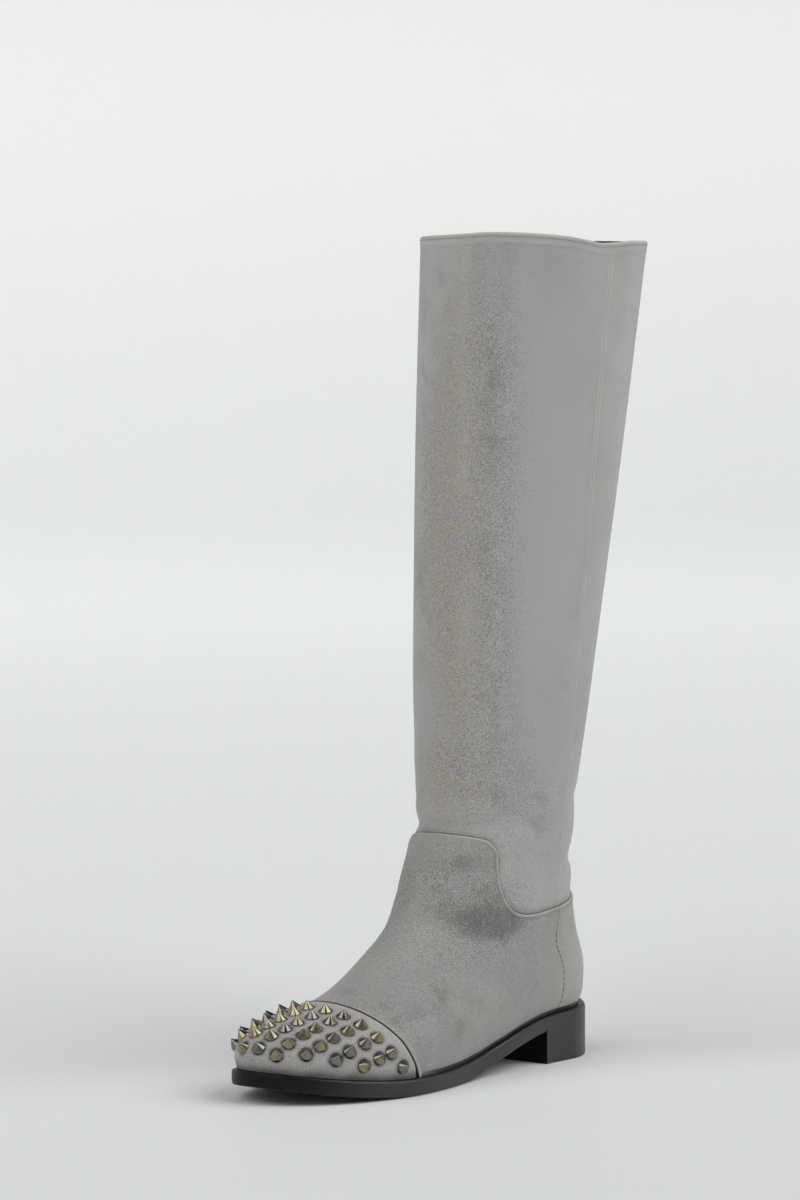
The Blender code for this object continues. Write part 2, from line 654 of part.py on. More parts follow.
def make_zip_pull(finish, hinge, across):
    """Flat tab with an eye round the bridge, hanging straight down from its bar, which is the hinge."""
    outward = across.cross(Vector((0, 0, 1))).normalized()
    eye, half = PULL_EYE_HALF + PULL_EYE_RIM, PULL_WIDTH / 2
    eye_end = -PULL_EYE_LENGTH - PULL_EYE_END
    neck = eye_end - PULL_NECK
    outer = (
        (-eye, PULL_BAR), (eye, PULL_BAR), (eye, eye_end), (half, neck),
        (half, PULL_CORNER - PULL_LENGTH), (half - PULL_CORNER, -PULL_LENGTH),
        (PULL_CORNER - half, -PULL_LENGTH), (-half, PULL_CORNER - PULL_LENGTH), (-half, neck), (-eye, eye_end))
    hole = (
        (-PULL_EYE_HALF, -PULL_BAR), (PULL_EYE_HALF, -PULL_BAR),
        (PULL_EYE_HALF, -PULL_EYE_LENGTH), (-PULL_EYE_HALF, -PULL_EYE_LENGTH))
    bm = bmesh.new()
    rims, holes = [], []
    for level in (-PULL_THICKNESS / 2, PULL_THICKNESS / 2):
        middle = hinge + outward * level
        rim = add_loop(bm, [middle + across * a + Vector((0, 0, b)) for a, b in outer])
        eye_rim = add_loop(bm, [middle + across * a + Vector((0, 0, b)) for a, b in hole])
        around = (rim[0], rim[1], rim[2], rim[-1])
        for i in range(4):
            j = (i + 1) % 4
            bm.faces.new((around[i], around[j], eye_rim[j], eye_rim[i]))
        bm.faces.new(rim[2:])
        rims.append(rim)
        holes.append(eye_rim)
    join_loops(bm, *rims)
    join_loops(bm, *holes)
    return add_object("zip_pull", bm, finish, place=hinge)


def main():
    for item in list(bpy.data.objects):
        bpy.data.objects.remove(item, do_unlink=True)
    suede = material("suede", (0.30, 0.295, 0.28), 0.9)
    cap_suede = material("cap_suede", (0.27, 0.265, 0.25), 0.9)
    rubber = material("sole_rubber", (0.012, 0.012, 0.013), 0.45)
    heel_stack = material("heel_stack", (0.014, 0.014, 0.015), 0.4)
    board = material("insole_leather", (0.10, 0.09, 0.08), 0.7)
    stud_metal = material("stud_metal", (0.55, 0.52, 0.46), 0.25, 1.0)
    tape_cloth = material("zip_cloth", (0.015, 0.015, 0.016), 0.8)
    zip_metal = material("zip_metal", (0.65, 0.65, 0.66), 0.25, 1.0)

    pieces = [make_outsole(rubber), make_heel(heel_stack), make_insole(board), make_upper(suede)]
    pieces.append(make_toe_cap(cap_suede))
    pieces.append(make_zip_tape(tape_cloth))
    for number, (turn, row) in enumerate(stud_places(), 1):
        pieces.append(make_stud(f"stud_{number:02d}", turn, row, stud_metal))
    seat, across, down, outward = slider_frame()
    pieces.append(make_zip_slider(zip_metal, frame_matrix(seat, across, down, outward)))
    hinge = seat + outward * (SLIDER_THICKNESS + (BRIDGE_HEIGHT - BRIDGE_BAR) / 2)
    pieces.append(make_zip_pull(zip_metal, hinge, across))

    boot = bpy.data.objects.new("boot", None)
    bpy.context.scene.collection.objects.link(boot)
    for piece in pieces:
        piece.parent = boot


main()
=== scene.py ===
"""Looks of the knee-high suede boot: its panels, lining, stitches, studded cap, sole and zip.

Sizes are millimetres until a mesh is made. s runs forward from the back of the heel seat, x to the
outer (lateral) side and z up from the floor. In the model the toe points to -Y and the outer side to +X.
A turn of 0 is at the toe, 0.25 lateral, 0.5 at the heel and 0.75 medial. A row is a section's number.
"""

import json
import math

import bpy
import numpy as np
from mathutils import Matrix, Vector


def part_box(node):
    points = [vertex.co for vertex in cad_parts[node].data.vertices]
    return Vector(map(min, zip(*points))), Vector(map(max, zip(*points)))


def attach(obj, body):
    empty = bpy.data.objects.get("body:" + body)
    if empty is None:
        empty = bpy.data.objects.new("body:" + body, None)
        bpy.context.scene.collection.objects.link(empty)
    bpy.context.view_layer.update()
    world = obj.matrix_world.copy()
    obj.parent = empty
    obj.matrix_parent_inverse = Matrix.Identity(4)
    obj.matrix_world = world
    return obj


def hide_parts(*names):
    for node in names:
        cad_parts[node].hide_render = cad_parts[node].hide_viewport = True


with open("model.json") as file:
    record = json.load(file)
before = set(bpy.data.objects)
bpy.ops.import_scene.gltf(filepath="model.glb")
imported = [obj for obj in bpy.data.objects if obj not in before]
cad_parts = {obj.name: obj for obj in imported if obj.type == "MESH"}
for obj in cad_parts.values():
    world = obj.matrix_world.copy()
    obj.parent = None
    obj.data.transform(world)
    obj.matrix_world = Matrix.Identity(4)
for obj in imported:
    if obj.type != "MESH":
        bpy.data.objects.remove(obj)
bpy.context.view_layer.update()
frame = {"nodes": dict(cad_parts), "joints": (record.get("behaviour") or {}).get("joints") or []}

MM = 0.001
ORIGIN_S = 112.35

# Camera: the photo's place and angle, for an image of 800 by 1200
CAMERA_PLACE = (1.7115, -2.1383, 0.440)
CAMERA_LOOK = (-0.6288, 0.7744, -0.0701)
CAMERA_LENS = 158.1
CAMERA_SENSOR = 36.0
CAMERA_CLIP = 50.0

# Studio: a bowl of pale floor, a dim sky and two wide soft lights given by the direction that they come from
STAGE_FLAT = 2.9
STAGE_BEND = 1.4
STAGE_HEIGHT = 2.0
STAGE_RINGS = (0.9, 2.0)
STAGE_STEPS = 18
STAGE_SIDES = 96
SKY_COLOUR = (0.96, 0.98, 1.0, 1.0)
SKY_STRENGTH = 0.12
LIGHTS = (
    ("right_light", (0.80, 0.27, 0.80), 60.0, 2.0),
    ("left_light", (-0.16, -0.90, 0.80), 60.0, 1.45))

# Walls and laps, as offsets from the upper's form
SUEDE_THICKNESS = 1.1
VAMP_LAP = 0.8
VAMP_INNER = 0.05
CAP_INNER = 1.4
CAP_OUTER = 2.6
LINING_OUTER = -1.2
LINING_INNER = -2.2
LINING_SINK = 1.3
LINING_DROP = 0.003
LINING_FIRST_ROW = 0.25
LINING_SINK_START = 0.1
LINING_SINK_RUN = 0.3
LINING_STEPS = (150, 130)
TOE_SWING = 6.0
SWING_START = 130.0

# The upper's sections from the feather line at the sole to the collar
STATIONS = {"rear": 35.0, "mid": 105.0, "fore": 180.0}
SECTION_COLUMNS = (
    "front_s", "front_z", "back_s", "back_z", "fore_lat", "fore_med", "mid_lat", "mid_med",
    "rear_lat", "rear_med", "front_round", "back_round", "follow", "zip")
SECTIONS = np.array((
    (253.5, 17.2, 7, 27, 41, 37, 31.5, 27, 26.5, 26.5, 72, 30, 1.00, 0.700),
    (252.5, 25, 5, 36, 42, 37.5, 34.5, 30, 29, 29, 74, 31, 0.95, 0.700),
    (249, 31, 5, 44, 42.5, 38, 36, 32, 30, 30, 82, 32, 0.85, 0.700),
    (235, 36.5, 5.5, 51.5, 42.5, 38.5, 36.5, 33.5, 30.5, 30.5, 95, 33, 0.75, 0.702),
    (212, 41.5, 7.5, 59, 42.5, 39, 37, 35, 30.5, 30.5, 105, 34, 0.60, 0.708),
    (189, 48, 10, 66, 42, 39, 37, 36, 30.5, 30.5, 95, 35, 0.50, 0.717),
    (163, 61.5, 12.5, 74, 42, 39, 37, 36, 31, 31, 82, 36, 0.35, 0.727),
    (139.5, 78.5, 14.5, 82.5, 41, 39, 37, 36, 32, 32, 70, 38, 0.20, 0.738),
    (128, 100.5, 16.5, 93, 40, 39, 37, 36, 33.5, 33.5, 60, 41, 0.10, 0.745),
    (115, 125.5, 18, 105, 40, 40, 38, 38, 36, 36, 50, 43, 0, 0.750),
    (109.5, 151, 17, 126, 41, 41, 40, 40, 39, 39, 47, 47, 0, 0.750),
    (107, 201, 9.5, 185, 45.5, 45.5, 45.5, 45.5, 45.5, 45.5, 49, 49, 0, 0.750),
    (103, 262, -1.5, 255, 50.5, 50.5, 50.5, 50.5, 50.5, 50.5, 52.5, 52.5, 0, 0.750),
    (98, 334, -13.5, 330, 55.5, 55.5, 55.5, 55.5, 55.5, 55.5, 56, 56, 0, 0.750),
    (91.5, 440, -32.5, 438, 60, 60, 60, 60, 60, 60, 62, 62, 0, 0.750)))
COLLAR_ROW = len(SECTIONS) - 1

# Height of the feather line and of the sole's underside: s, z
FEATHER = np.array((
    (-10, 30.2), (0, 29.2), (12, 27.9), (30, 26.6), (55, 25.2), (80, 21.6), (100, 16.8), (120, 12),
    (140, 9.6), (160, 8.8), (180, 9), (200, 10), (220, 12), (240, 14.8), (255, 17.2), (270, 20)))
UNDERSIDE = np.array((
    (-10, 18.7), (0, 18.5), (55, 17), (80, 13.2), (100, 8.2), (115, 3.8), (130, 1), (145, 0),
    (180, 0), (200, 1.2), (220, 3.2), (240, 6.2), (255, 9), (270, 12)))

# Large folds at the ankle: height, turn, reach in turns, half height, depth
FOLDS = (
    (127.5, 0.94, 0.26, 6.0, 3.6), (141, 0.47, 0.2, 4.5, 1.7), (109, 0.46, 0.2, 4.5, 1.9),
    (125, 0.46, 0.2, 9.0, -1.5), (99, 0.46, 0.2, 7.0, -1.5))

# Small creases: turn, height, half length around the leg, rise over that length, half width, depth
CREASES = (
    (0.47, 141, 34, -3, 1.7, 1.2), (0.46, 109, 36, 4, 1.7, 1.2), (0.0, 130, 26, 0, 2.2, 0.8),
    (0.15, 136, 20, 9, 4.0, 0.7), (0.2, 129, 18, -8, 4.0, 0.6), (0.25, 150, 20, 7, 5.0, 0.5),
    (0.11, 155, 22, 6, 5.0, 0.45), (0.88, 140, 24, -6, 5.0, 0.6), (0.8, 122, 22, 7, 4.5, 0.6),
    (0.64, 118, 22, 4, 4.5, 0.6), (0.18, 118, 20, 3, 5.0, -0.5), (0.85, 160, 26, 5, 6.0, -0.4),
    (0.03, 94, 22, 0, 4.0, 0.6), (0.01, 84, 20, 0, 4.0, -0.4), (0.12, 96, 20, -8, 4.5, 0.5),
    (0.88, 96, 20, -8, 4.5, 0.5))
# Girth of the leg at the ankle
LEG_AROUND = 260.0

# Top edge of the vamp and counter, lapped over the shaft: turn from the front, row
VAMP_LINE = np.array((
    (0.000, 9.03), (0.112, 9.00), (0.138, 8.85), (0.155, 8.45), (0.174, 7.95), (0.192, 7.60),
    (0.210, 7.38), (0.240, 7.24), (0.310, 7.18), (0.360, 7.26), (0.420, 7.60), (0.500, 7.90)))
SHAFT_TUCK = 0.3
LAP_HEIGHT = 110.0

# Share of a panel's width that follows its side edges closely, and the rows that average them elsewhere
EDGE_REACH = 0.12
EDGE_STEPS = (-0.8, -0.4, 0.0, 0.4, 0.8)

# Columns and rows of each panel's grid, the rounds that settle it, and the least thickness at an edge
PANEL_STEPS = {"shaft_front": (190, 230), "shaft_back": (170, 230), "vamp": (300, 120), "counter": (160, 110)}
SETTLE_ROUNDS = 12
LAP_STEPS = 1500
LEAST_THICKNESS = 0.15

# Drop of the collar's edge below its highest level: turn, millimetres. The top row is COLLAR_RISE high.
COLLAR_LINE = np.array((
    (0.00, 2.0), (0.05, 1.0), (0.10, 1.4), (0.15, 2.6), (0.185, 4.6), (0.21, 6.0), (0.235, 5.6), (0.27, 4.6),
    (0.33, 4.4), (0.42, 4.4), (0.50, 4.2), (0.65, 3.4), (0.75, 3.0), (0.86, 3.2), (0.94, 2.8), (1.00, 2.0)))
COLLAR_RISE = 106.0

# Lateral seams: row, turn. The side seam parts the shaft's panels, the counter seam the vamp and the counter.
SIDE_SEAM = np.array((
    (6.5, 0.322), (7.0, 0.320), (8.2, 0.308), (9.1, 0.299), (10.0, 0.292), (10.4, 0.286), (10.83, 0.270),
    (11.37, 0.2575), (12.09, 0.247), (13.14, 0.232), (14.0, 0.2265)))
COUNTER_SEAM = np.array((
    (0.0, 0.370), (0.4, 0.3725), (1.7, 0.372), (2.9, 0.3665), (4.3, 0.352), (5.75, 0.333), (7.05, 0.321),
    (9.0, 0.315)))

# Band of near-black painted shade on the suede next to the sole behind the ball of the foot, where the gap to
# the sole lies in shadow
BAND_START = 190.0
BAND_RUN = 40.0
BAND_HEIGHT = 3.0
BAND_FADE = 0.7

# Soft bands beside the sole and above the vamp's lapped edge: amount, place, half width. The tuck is relief;
# the other bands are painted shade, the wide one beside the sole with some dirt.
SOLE_TUCK = (0.5, 0.0, 2.0)
SOLE_SHADE = (0.8, 0.0, 0.8)
SOLE_SHADE_AND_DIRT = (0.5, 0.0, 2.6)
LAP_SHADE = (0.65, 0.0, 0.7)
LAP_WIDE_SHADE = (0.35, 0.0, 3.0)
LAP_ROW_STEP = 0.05

# Rear edge of the toe cap: height, s
CAP_LINE = np.array(((5, 177), (9, 179), (16, 182.5), (23, 187), (33, 193), (41, 197.5), (46, 201)))
CAP_STEPS = (110, 180)
CAP_FIRST_ROW = 0.02
CAP_ROW_GAP = 0.001
# Rows among which the edge's top is looked for, the turns within which it is found and the halvings for that
CAP_TOP_ROWS = np.linspace(2, 7, 2000)
CAP_REACH = 0.45
CAP_HALVINGS = 40

# Soft bands ahead of the cap's rear edge and above its foot: amount, place, half width. The drops are relief,
# the shade bands painted shade, the edge's pale band wear with a painted highlight, and the foot's wide dark
# band painted shade with some dirt.
CAP_EDGE_DROP = (0.9, 0.0, 1.2)
CAP_EDGE_SHADE = (0.9, 0.0, 0.6)
CAP_EDGE_WEAR_AND_HIGHLIGHT = (0.35, 1.6, 1.0)
CAP_FOOT_DROP = (1.6, 0.0, 4.0)
CAP_FOOT_SHADE = (0.5, 0.0, 2.2)
CAP_FOOT_SHADE_AND_DIRT = (0.6, 0.0, 4.0)

# Turned edge of the vamp beside the cap: distance behind the cap's rear edge, height over the upper's form
CAP_SEAM_PROFILE = (
    (0.15, 1.2), (0.18, 1.9), (0.35, 2.25), (0.7, 2.4), (1.1, 2.35), (1.7, 1.95), (2.5, 1.35), (3.4, 0.9),
    (4.2, 0.6))
# Pale band on the turned edge's ridge, wear with a painted highlight, and painted shade at the seam: amount,
# place, half width
CAP_SEAM_WEAR_AND_HIGHLIGHT = (0.55, 0.9, 0.7)
CAP_SEAM_SHADE = (1.0, 0.1, 0.3)
CAP_SEAM_ROWS = 260
CAP_SEAM_STEPS = 420

# Studs
STUD_RADIUS = 3.4
STUD_HEIGHT = 4.3
STUD_SIDES = 40
STUD_SINK = 0.45
STUD_TIP = 0.985
# Painted shade around each stud's base: a near-black ring out to STUD_SHADE_REACH and a wider darker band.
STUD_SHADE = 0.8
STUD_SHADE_REACH = 4.3
STUD_SHADE_RUN = 0.8
STUD_RING_SHADE = (0.3, STUD_RADIUS, 1.6)
# Degrees by which a stud turns up where its axis slopes by STUD_BEND, less for steeper and flatter ones
STUD_RAISE = 26.0
STUD_BEND = 16.0
STUD_BEND_REACH = 26.0
STUD_TINTS = (0.2, 0.9, 0.4, 0.0, 0.7, 1.0, 0.3)
# A stud's outline: share of the radius, share of the height
STUD_PROFILE = (
    (1.0, -0.28), (1.0, 0.0), (1.0, 0.10), (0.985, 0.13), (0.95, 0.16), (0.50, 0.57), (0.10, 0.92),
    (0.05, 0.96))

# Sole edge: share of the thickness from below, stand-out from the feather line
SOLE_EDGE = (
    (0.00, -12.0), (0.00, 1.6), (0.01, 2.3), (0.05, 2.9), (0.12, 3.25), (0.25, 3.42), (0.44, 3.50),
    (0.62, 3.50), (0.74, 3.48), (0.84, 3.38), (0.90, 3.2), (0.95, 2.85), (0.98, 2.4), (0.99, 1.8),
    (0.98, 0.0), (0.96, -12.0))
# Heel edge: share of the height up to the sole, past 1 share of the sole's thickness, and stand-out
HEEL_EDGE = (
    (0.00, -8.0), (0.00, 3.0), (0.008, 3.3), (0.03, 3.5), (0.07, 3.56), (0.30, 3.56), (1.00, 3.54),
    (1.44, 3.512), (1.444, 3.2), (1.444, -8.0))
# How far the sole and the heel stand out further at the back, and where that begins
HEEL_REACH = 1.0
HEEL_REACH_START = 70.0
HEEL_REACH_RUN = 40.0
HEEL_BREAST = 58.3
# Where along the sole its sheen starts, and the run over which it grows towards the heel. The same mark turns
# the rubber from a darker toe, painted shade, to a lighter heel, painted light.
SHEEN_START = 262.0
SHEEN_RUN = 70.0
SOLE_STEPS = 110
HEEL_STEPS = 34
HEEL_PLAN_STEPS = 8 * HEEL_STEPS
# The heel's faces with a normal past this are its breast, which gets a darker copy of the rubber as painted
# shade
BREAST_NORMAL = -0.9

# Zip
ZIP_WIDTH = 9.0
ZIP_END_RUN = 5.0
SEAM_OPENING = 0.03
ZIP_STEPS = 700
TAPE_OVERRUN = 2.0
TAPE_STEPS = 220
TAPE_PROFILE = (
    (-4.3, -0.85), (-2.9, -0.78), (-2.5, -0.62), (-0.25, -0.55), (0.0, -0.7), (0.25, -0.55), (2.5, -0.62),
    (2.9, -0.78), (4.3, -0.85), (4.3, -1.7), (-4.3, -1.7))
TOOTH_PITCH = 2.2
TEETH_INSET = 1.0
TEETH_STEPS = 2000
TOOTH_ROW_STEP = 0.01
TOOTH_PLAN = ((-0.55, -0.34), (0.5, -0.52), (2.3, -0.58), (2.3, 0.58), (0.5, 0.52), (-0.55, 0.34))
TOOTH_LEVELS = ((-0.6, 1.0), (0.3, 1.0), (0.52, 0.86), (0.62, 0.6))
SLIDER_LENGTH = 11.0
SLIDER_WIDTH = 7.4
SLIDER_THICKNESS = 2.6
# Slider: outline in half widths and half lengths, plates by middle height, thickness and share of the outline
SLIDER_PLAN = ((-1, -0.75), (-0.6, -1), (0.6, -1), (1, -0.75), (1, 0.1), (0.7, 1), (-0.7, 1), (-1, 0.1))
SLIDER_PLATES = ((0.6, 1.2, 1.0), (1.3, 0.6, 0.86), (2.0, 1.2, 0.97))
SLIDER_ROUNDING = 0.35
SLIDER_RIM = 0.05
BRIDGE_SPAN = 4.4
BRIDGE_HEIGHT = 4.4
BRIDGE_BAR = 1.3
BRIDGE_WIDTH = 1.8
BRIDGE_SINK = 0.4
BRIDGE_OVERRUN = 0.12
BRIDGE_STEPS = 25
PULL_LENGTH = 20.0
PULL_WIDTH = 6.4
PULL_THICKNESS = 1.4
PULL_ROUNDING = 0.4
PULL_TOP = 0.8
PULL_NECK = 2.5
PULL_NECK_LENGTH = 7.0
PULL_SHOULDER = 9.5
PULL_CORNER = (1.2, 2.0)
# Holes of the pull: half width, top and bottom below the hinge
PULL_EYE = (1.5, -0.75, -5.9)
PULL_SLOT = (1.5, -10.5, -17.0)

# Stitches
STITCH_PITCH = 2.5
STITCH_LENGTH = 1.9
STITCH_RADIUS = 0.22
STITCH_SIDES = 6
STITCH_STEP = 0.3
# Rings of a stitch: place along it, girth, height
STITCH_RINGS = (
    (-1.0, 0.35, -0.25), (-0.72, 0.85, 0.0), (0.0, 1.0, 0.12), (0.72, 0.85, 0.0), (1.0, 0.35, -0.25))
COLLAR_STITCH = 2.0
VAMP_STITCH = 1.7
ZIP_STITCH = 2.6
COLLAR_GAP = 1e-3
LINE_STEPS = 900
ZIP_LINE_STEPS = 500
# Where the vamp's stitches start and end beside the zip
LAP_START_HEIGHT = 118.0
LAP_END_TURNS = 0.03
# Rows of the counter seam's stitches, their depth in the seam and their pitch. Their dark thread is painted
# shade of the stitch holes.
COUNTER_ROWS = np.linspace(0.15, 5.8, 400)
COUNTER_SINK = 0.35
COUNTER_PITCH = 1.3 * STITCH_PITCH

# A panel's edges: rounding by depth and radius, and bands of amount, distance from the edge and half width.
# The pale bands are wear with a painted highlight on the edge's rise, the dark bands painted shade in the
# seam.
EDGE_FORMS = {
    "seam": {
        "rounding": (0.0, 1.0), "relief": ((0.26, 0.9, 0.6), (-0.1, 0.0, 0.3)),
        "pale": ((0.75, 0.85, 0.6),), "dark": ((0.12, 0.0, 0.22),)},
    "folded": {
        "rounding": (0.95, 0.9), "relief": ((-0.06, COLLAR_STITCH, 0.5),),
        "pale": ((0.55, 0.0, 1.3),), "dark": ((0.12, COLLAR_STITCH, 0.35),)},
    "cut": {
        "rounding": (0.72, 0.6), "relief": ((-0.14, VAMP_STITCH, 0.45), (0.10, 0.9, 0.5)),
        "pale": ((0.9, 0.3, 0.75),), "dark": ()},
    "counter": {
        "rounding": (0.0, 1.0), "relief": ((0.08, 1.0, 0.6), (-0.28, 0.0, 0.3)),
        "pale": ((0.15, 0.9, 0.6),), "dark": ((0.3, 0.0, 0.25),)}}
# Width that a folded edge is turned by, the step down beyond it, the pale band on it, wear with a painted
# highlight, and the runs of both
TURNED_WIDTH = 6.0
TURNED_STEP = 0.18
TURNED_STEP_RUN = 0.8
TURNED_WEAR_AND_HIGHLIGHT = 0.4
TURNED_WEAR_AND_HIGHLIGHT_RUN = 1.5

# Soft patches of the suede's colour: turn, row, reach around and upright in millimetres, amount
WARM_PATCHES = (
    (0.01, 13.4, 16, 80, 0.9), (0.02, 12.2, 14, 60, 0.9), (0.03, 11.2, 18, 50, 0.9),
    (-0.05, 12.4, 14, 90, 0.7), (0.0, 10.0, 30, 22, 0.8), (0.0, 8.0, 12, 26, 0.5),
    (0.0, 6.0, 12, 14, 0.5), (0.06, 8.8, 30, 8, 0.5), (0.27, 9.6, 20, 22, 0.3), (0.37, 3.0, 20, 30, 0.3),
    (0.21, 2.5, 30, 14, 0.3))
PALE_PATCHES = (
    (0.3, 13.4, 22, 80, 0.35), (0.31, 12.0, 22, 60, 0.25), (0.006, 13.7, 5, 60, 0.25),
    (0.02, 12.9, 5, 50, 0.25), (0.042, 11.6, 6, 40, 0.25), (0.057, 7.0, 14, 9, 0.35),
    (0.0, 7.6, 7, 20, 0.3), (0.25, 3.6, 24, 12, 0.2), (0.43, 4.0, 32, 50, 0.7), (0.5, 4.0, 36, 50, 0.25))
COOL_PATCHES = (
    (0.14, 13.2, 18, 70, 0.8), (0.165, 12.2, 18, 60, 0.9), (0.16, 11.3, 16, 40, 0.6),
    (0.205, 12.6, 12, 40, 0.7), (0.195, 13.6, 14, 30, 0.7), (0.205, 10.6, 14, 16, 0.6),
    (0.24, 8.3, 16, 16, 0.6), (0.22, 5.2, 26, 12, 0.5), (0.14, 6.8, 22, 12, 0.6),
    (0.78, 12.6, 26, 80, 0.6))
# Dark patches are the suede's own darker tone; the strong ones low on the vamp, near turns 0.1 to 0.19 and
# rows 7 to 8.5, also hold painted shade.
DARK_PATCHES = (
    (0.055, 13.35, 11, 26, 0.45), (0.068, 13.0, 9, 30, 0.35), (0.07, 12.4, 9, 26, 0.3),
    (0.078, 12.0, 10, 20, 0.35), (0.08, 11.4, 9, 24, 0.3), (0.092, 11.0, 10, 12, 0.3),
    (0.035, 13.75, 9, 20, 0.25), (-0.085, 13.5, 8, 40, 0.3), (-0.08, 11.9, 8, 30, 0.3),
    (0.195, 13.65, 12, 26, 0.2), (0.205, 10.65, 14, 16, 0.2), (0.15, 10.0, 24, 8, 0.3),
    (0.06, 9.9, 20, 8, 0.3), (0.15, 7.2, 26, 9, 0.9), (0.19, 7.0, 14, 7, 0.7), (0.095, 8.5, 22, 7, 0.6),
    (-0.015, 7.7, 6, 10, 0.4), (0.12, 4.5, 30, 10, 0.35), (0.19, 4.6, 46, 22, 0.3),
    (0.1, 7.6, 30, 16, 0.3), (0.7, 13.0, 30, 70, 0.4), (0.85, 12.0, 24, 50, 0.4),
    (0.86, 7.4, 26, 16, 0.5))
SPECKLE_PATCHES = (
    (0.01, 13.2, 18, 90, 0.6), (0.06, 13.3, 16, 60, 1.0), (0.072, 12.3, 14, 60, 1.0),
    (0.082, 11.3, 16, 40, 0.9), (0.02, 11.6, 20, 60, 0.7), (0.06, 10.2, 40, 26, 0.9),
    (0.2, 9.8, 26, 20, 0.45), (-0.06, 12.6, 14, 80, 0.6), (0.06, 8.0, 50, 24, 0.9),
    (0.15, 7.0, 40, 18, 0.9), (0.15, 4.5, 60, 26, 0.6), (0.33, 5.0, 40, 40, 0.4),
    (0.02, 2.0, 60, 30, 0.8), (0.87, 12.2, 26, 90, 0.7), (0.86, 7.0, 40, 30, 0.7))
PATCHES = {
    "warm": WARM_PATCHES, "cool": COOL_PATCHES, "dark": DARK_PATCHES, "speckle": SPECKLE_PATCHES,
    "pale": PALE_PATCHES}


def smooth_curve(table_x, table_y, x):
    """Monotone cubic curve through a table, held at its end values."""
    x = np.clip(np.asarray(x, float), table_x[0], table_x[-1])
    step = np.diff(table_x)
    rise = np.diff(table_y) / step
    slope = np.concatenate((rise[:1], np.zeros(len(step) - 1), rise[-1:]))
    for i in range(1, len(step)):
        if rise[i - 1] * rise[i] > 0:
            near = 2 * step[i] + step[i - 1]
            far = step[i] + 2 * step[i - 1]
            slope[i] = (near + far) / (near / rise[i - 1] + far / rise[i])
    i = np.clip(np.searchsorted(table_x, x, "right") - 1, 0, len(step) - 1)
    t = (x - table_x[i]) / step[i]
    start = (2 * t**3 - 3 * t**2 + 1) * table_y[i] + (t**3 - 2 * t**2 + t) * step[i] * slope[i]
    end = (3 * t**2 - 2 * t**3) * table_y[i + 1] + (t**3 - t**2) * step[i] * slope[i + 1]
    return start + end


def along(table, x):
    return smooth_curve(table[:, 0], table[:, 1], x)


def section(name, row):
    rows = np.arange(len(SECTIONS), dtype=float)
    return smooth_curve(rows, SECTIONS[:, SECTION_COLUMNS.index(name)], row)


def ease(t):
    t = np.clip(t, 0, 1)
    return t * t * (3 - 2 * t)


def round_end(t):
    """Share of the full height at a distance t from a rounded end, 1 where the rounding is over."""
    t = np.clip(t, 0, 1)
    return np.sqrt(1 - (1 - t) ** 2)


def bell(x, width):
    return np.exp(-((x / width) ** 2))


def half_width(side, row, s):
    """Half width of a section at s, on the lateral side (1) or the medial side (-1)."""
    rear, mid, fore = (
        np.where(side > 0, section(name + "_lat", row), section(name + "_med", row)) for name in STATIONS)
    to_mid = ease((s - STATIONS["rear"]) / (STATIONS["mid"] - STATIONS["rear"]))
    to_fore = ease((s - STATIONS["mid"]) / (STATIONS["fore"] - STATIONS["mid"]))
    return rear + (mid - rear) * to_mid + (fore - mid) * to_fore


def swing(s):
    """Sideways place of the foot's centre line: the toe turns in."""
    reach = section("front_s", 0) - SWING_START
    return -TOE_SWING * np.clip((s - SWING_START) / reach, 0, None) ** 2


def upper_point(turn, row):
    """Point of the upper's outer form."""
    turn, row = np.broadcast_arrays(np.asarray(turn, float) % 1.0, np.asarray(row, float))
    side = np.where(turn <= 0.5, 1.0, -1.0)
    angle = np.where(turn <= 0.5, turn, 1 - turn) * 2 * math.pi
    front_s, back_s = section("front_s", row), section("back_s", row)
    share = (1 - np.cos(angle)) / 2
    s = front_s + (back_s - front_s) * share
    feather_front, feather_back = section("front_s", 0), section("back_s", 0)
    chord = section("front_z", 0) + (section("back_z", 0) - section("front_z", 0)) * share
    dip = along(FEATHER, feather_front + (feather_back - feather_front) * share) - chord
    z = section("front_z", row) + (section("back_z", row) - section("front_z", row)) * share
    front_end = round_end((front_s - s) / section("front_round", row))
    back_end = round_end((s - back_s) / section("back_round", row))
    x = swing(s) + side * half_width(side, row, s) * front_end * back_end
    return np.stack((x, ORIGIN_S - s, z + section("follow", row) * dip), -1)


def unit(vectors):
    return vectors / np.linalg.norm(vectors, axis=-1, keepdims=True)


def upper_normal(turn, row):
    turn, row = np.broadcast_arrays(np.asarray(turn, float), np.asarray(row, float))
    turn_step, row_step = 2e-4, 2e-3
    around = upper_point(turn + turn_step, row) - upper_point(turn - turn_step, row)
    below, above = np.clip(row - row_step, 0, COLLAR_ROW), np.clip(row + row_step, 0, COLLAR_ROW)
    return unit(np.cross(around, upper_point(turn, above) - upper_point(turn, below)))


def turn_away(turn, centre):
    return (turn - centre + 0.5) % 1.0 - 0.5


def fold_depth(turn, z):
    total = 0.0
    for height, centre, spread, half_height, depth in FOLDS:
        reach = ease(1 - np.abs(turn_away(turn, centre)) / spread)
        total = total + depth * reach * bell(z - height, half_height)
    return total


def crease_depth(turn, z):
    total = 0.0
    for centre, height, run, rise, half_width_mm, depth in CREASES:
        share = turn_away(turn, centre) * LEG_AROUND / run
        reach = ease(1 - np.abs(share))
        total = total + depth * reach * bell(z - height - rise * share, half_width_mm)
    return total


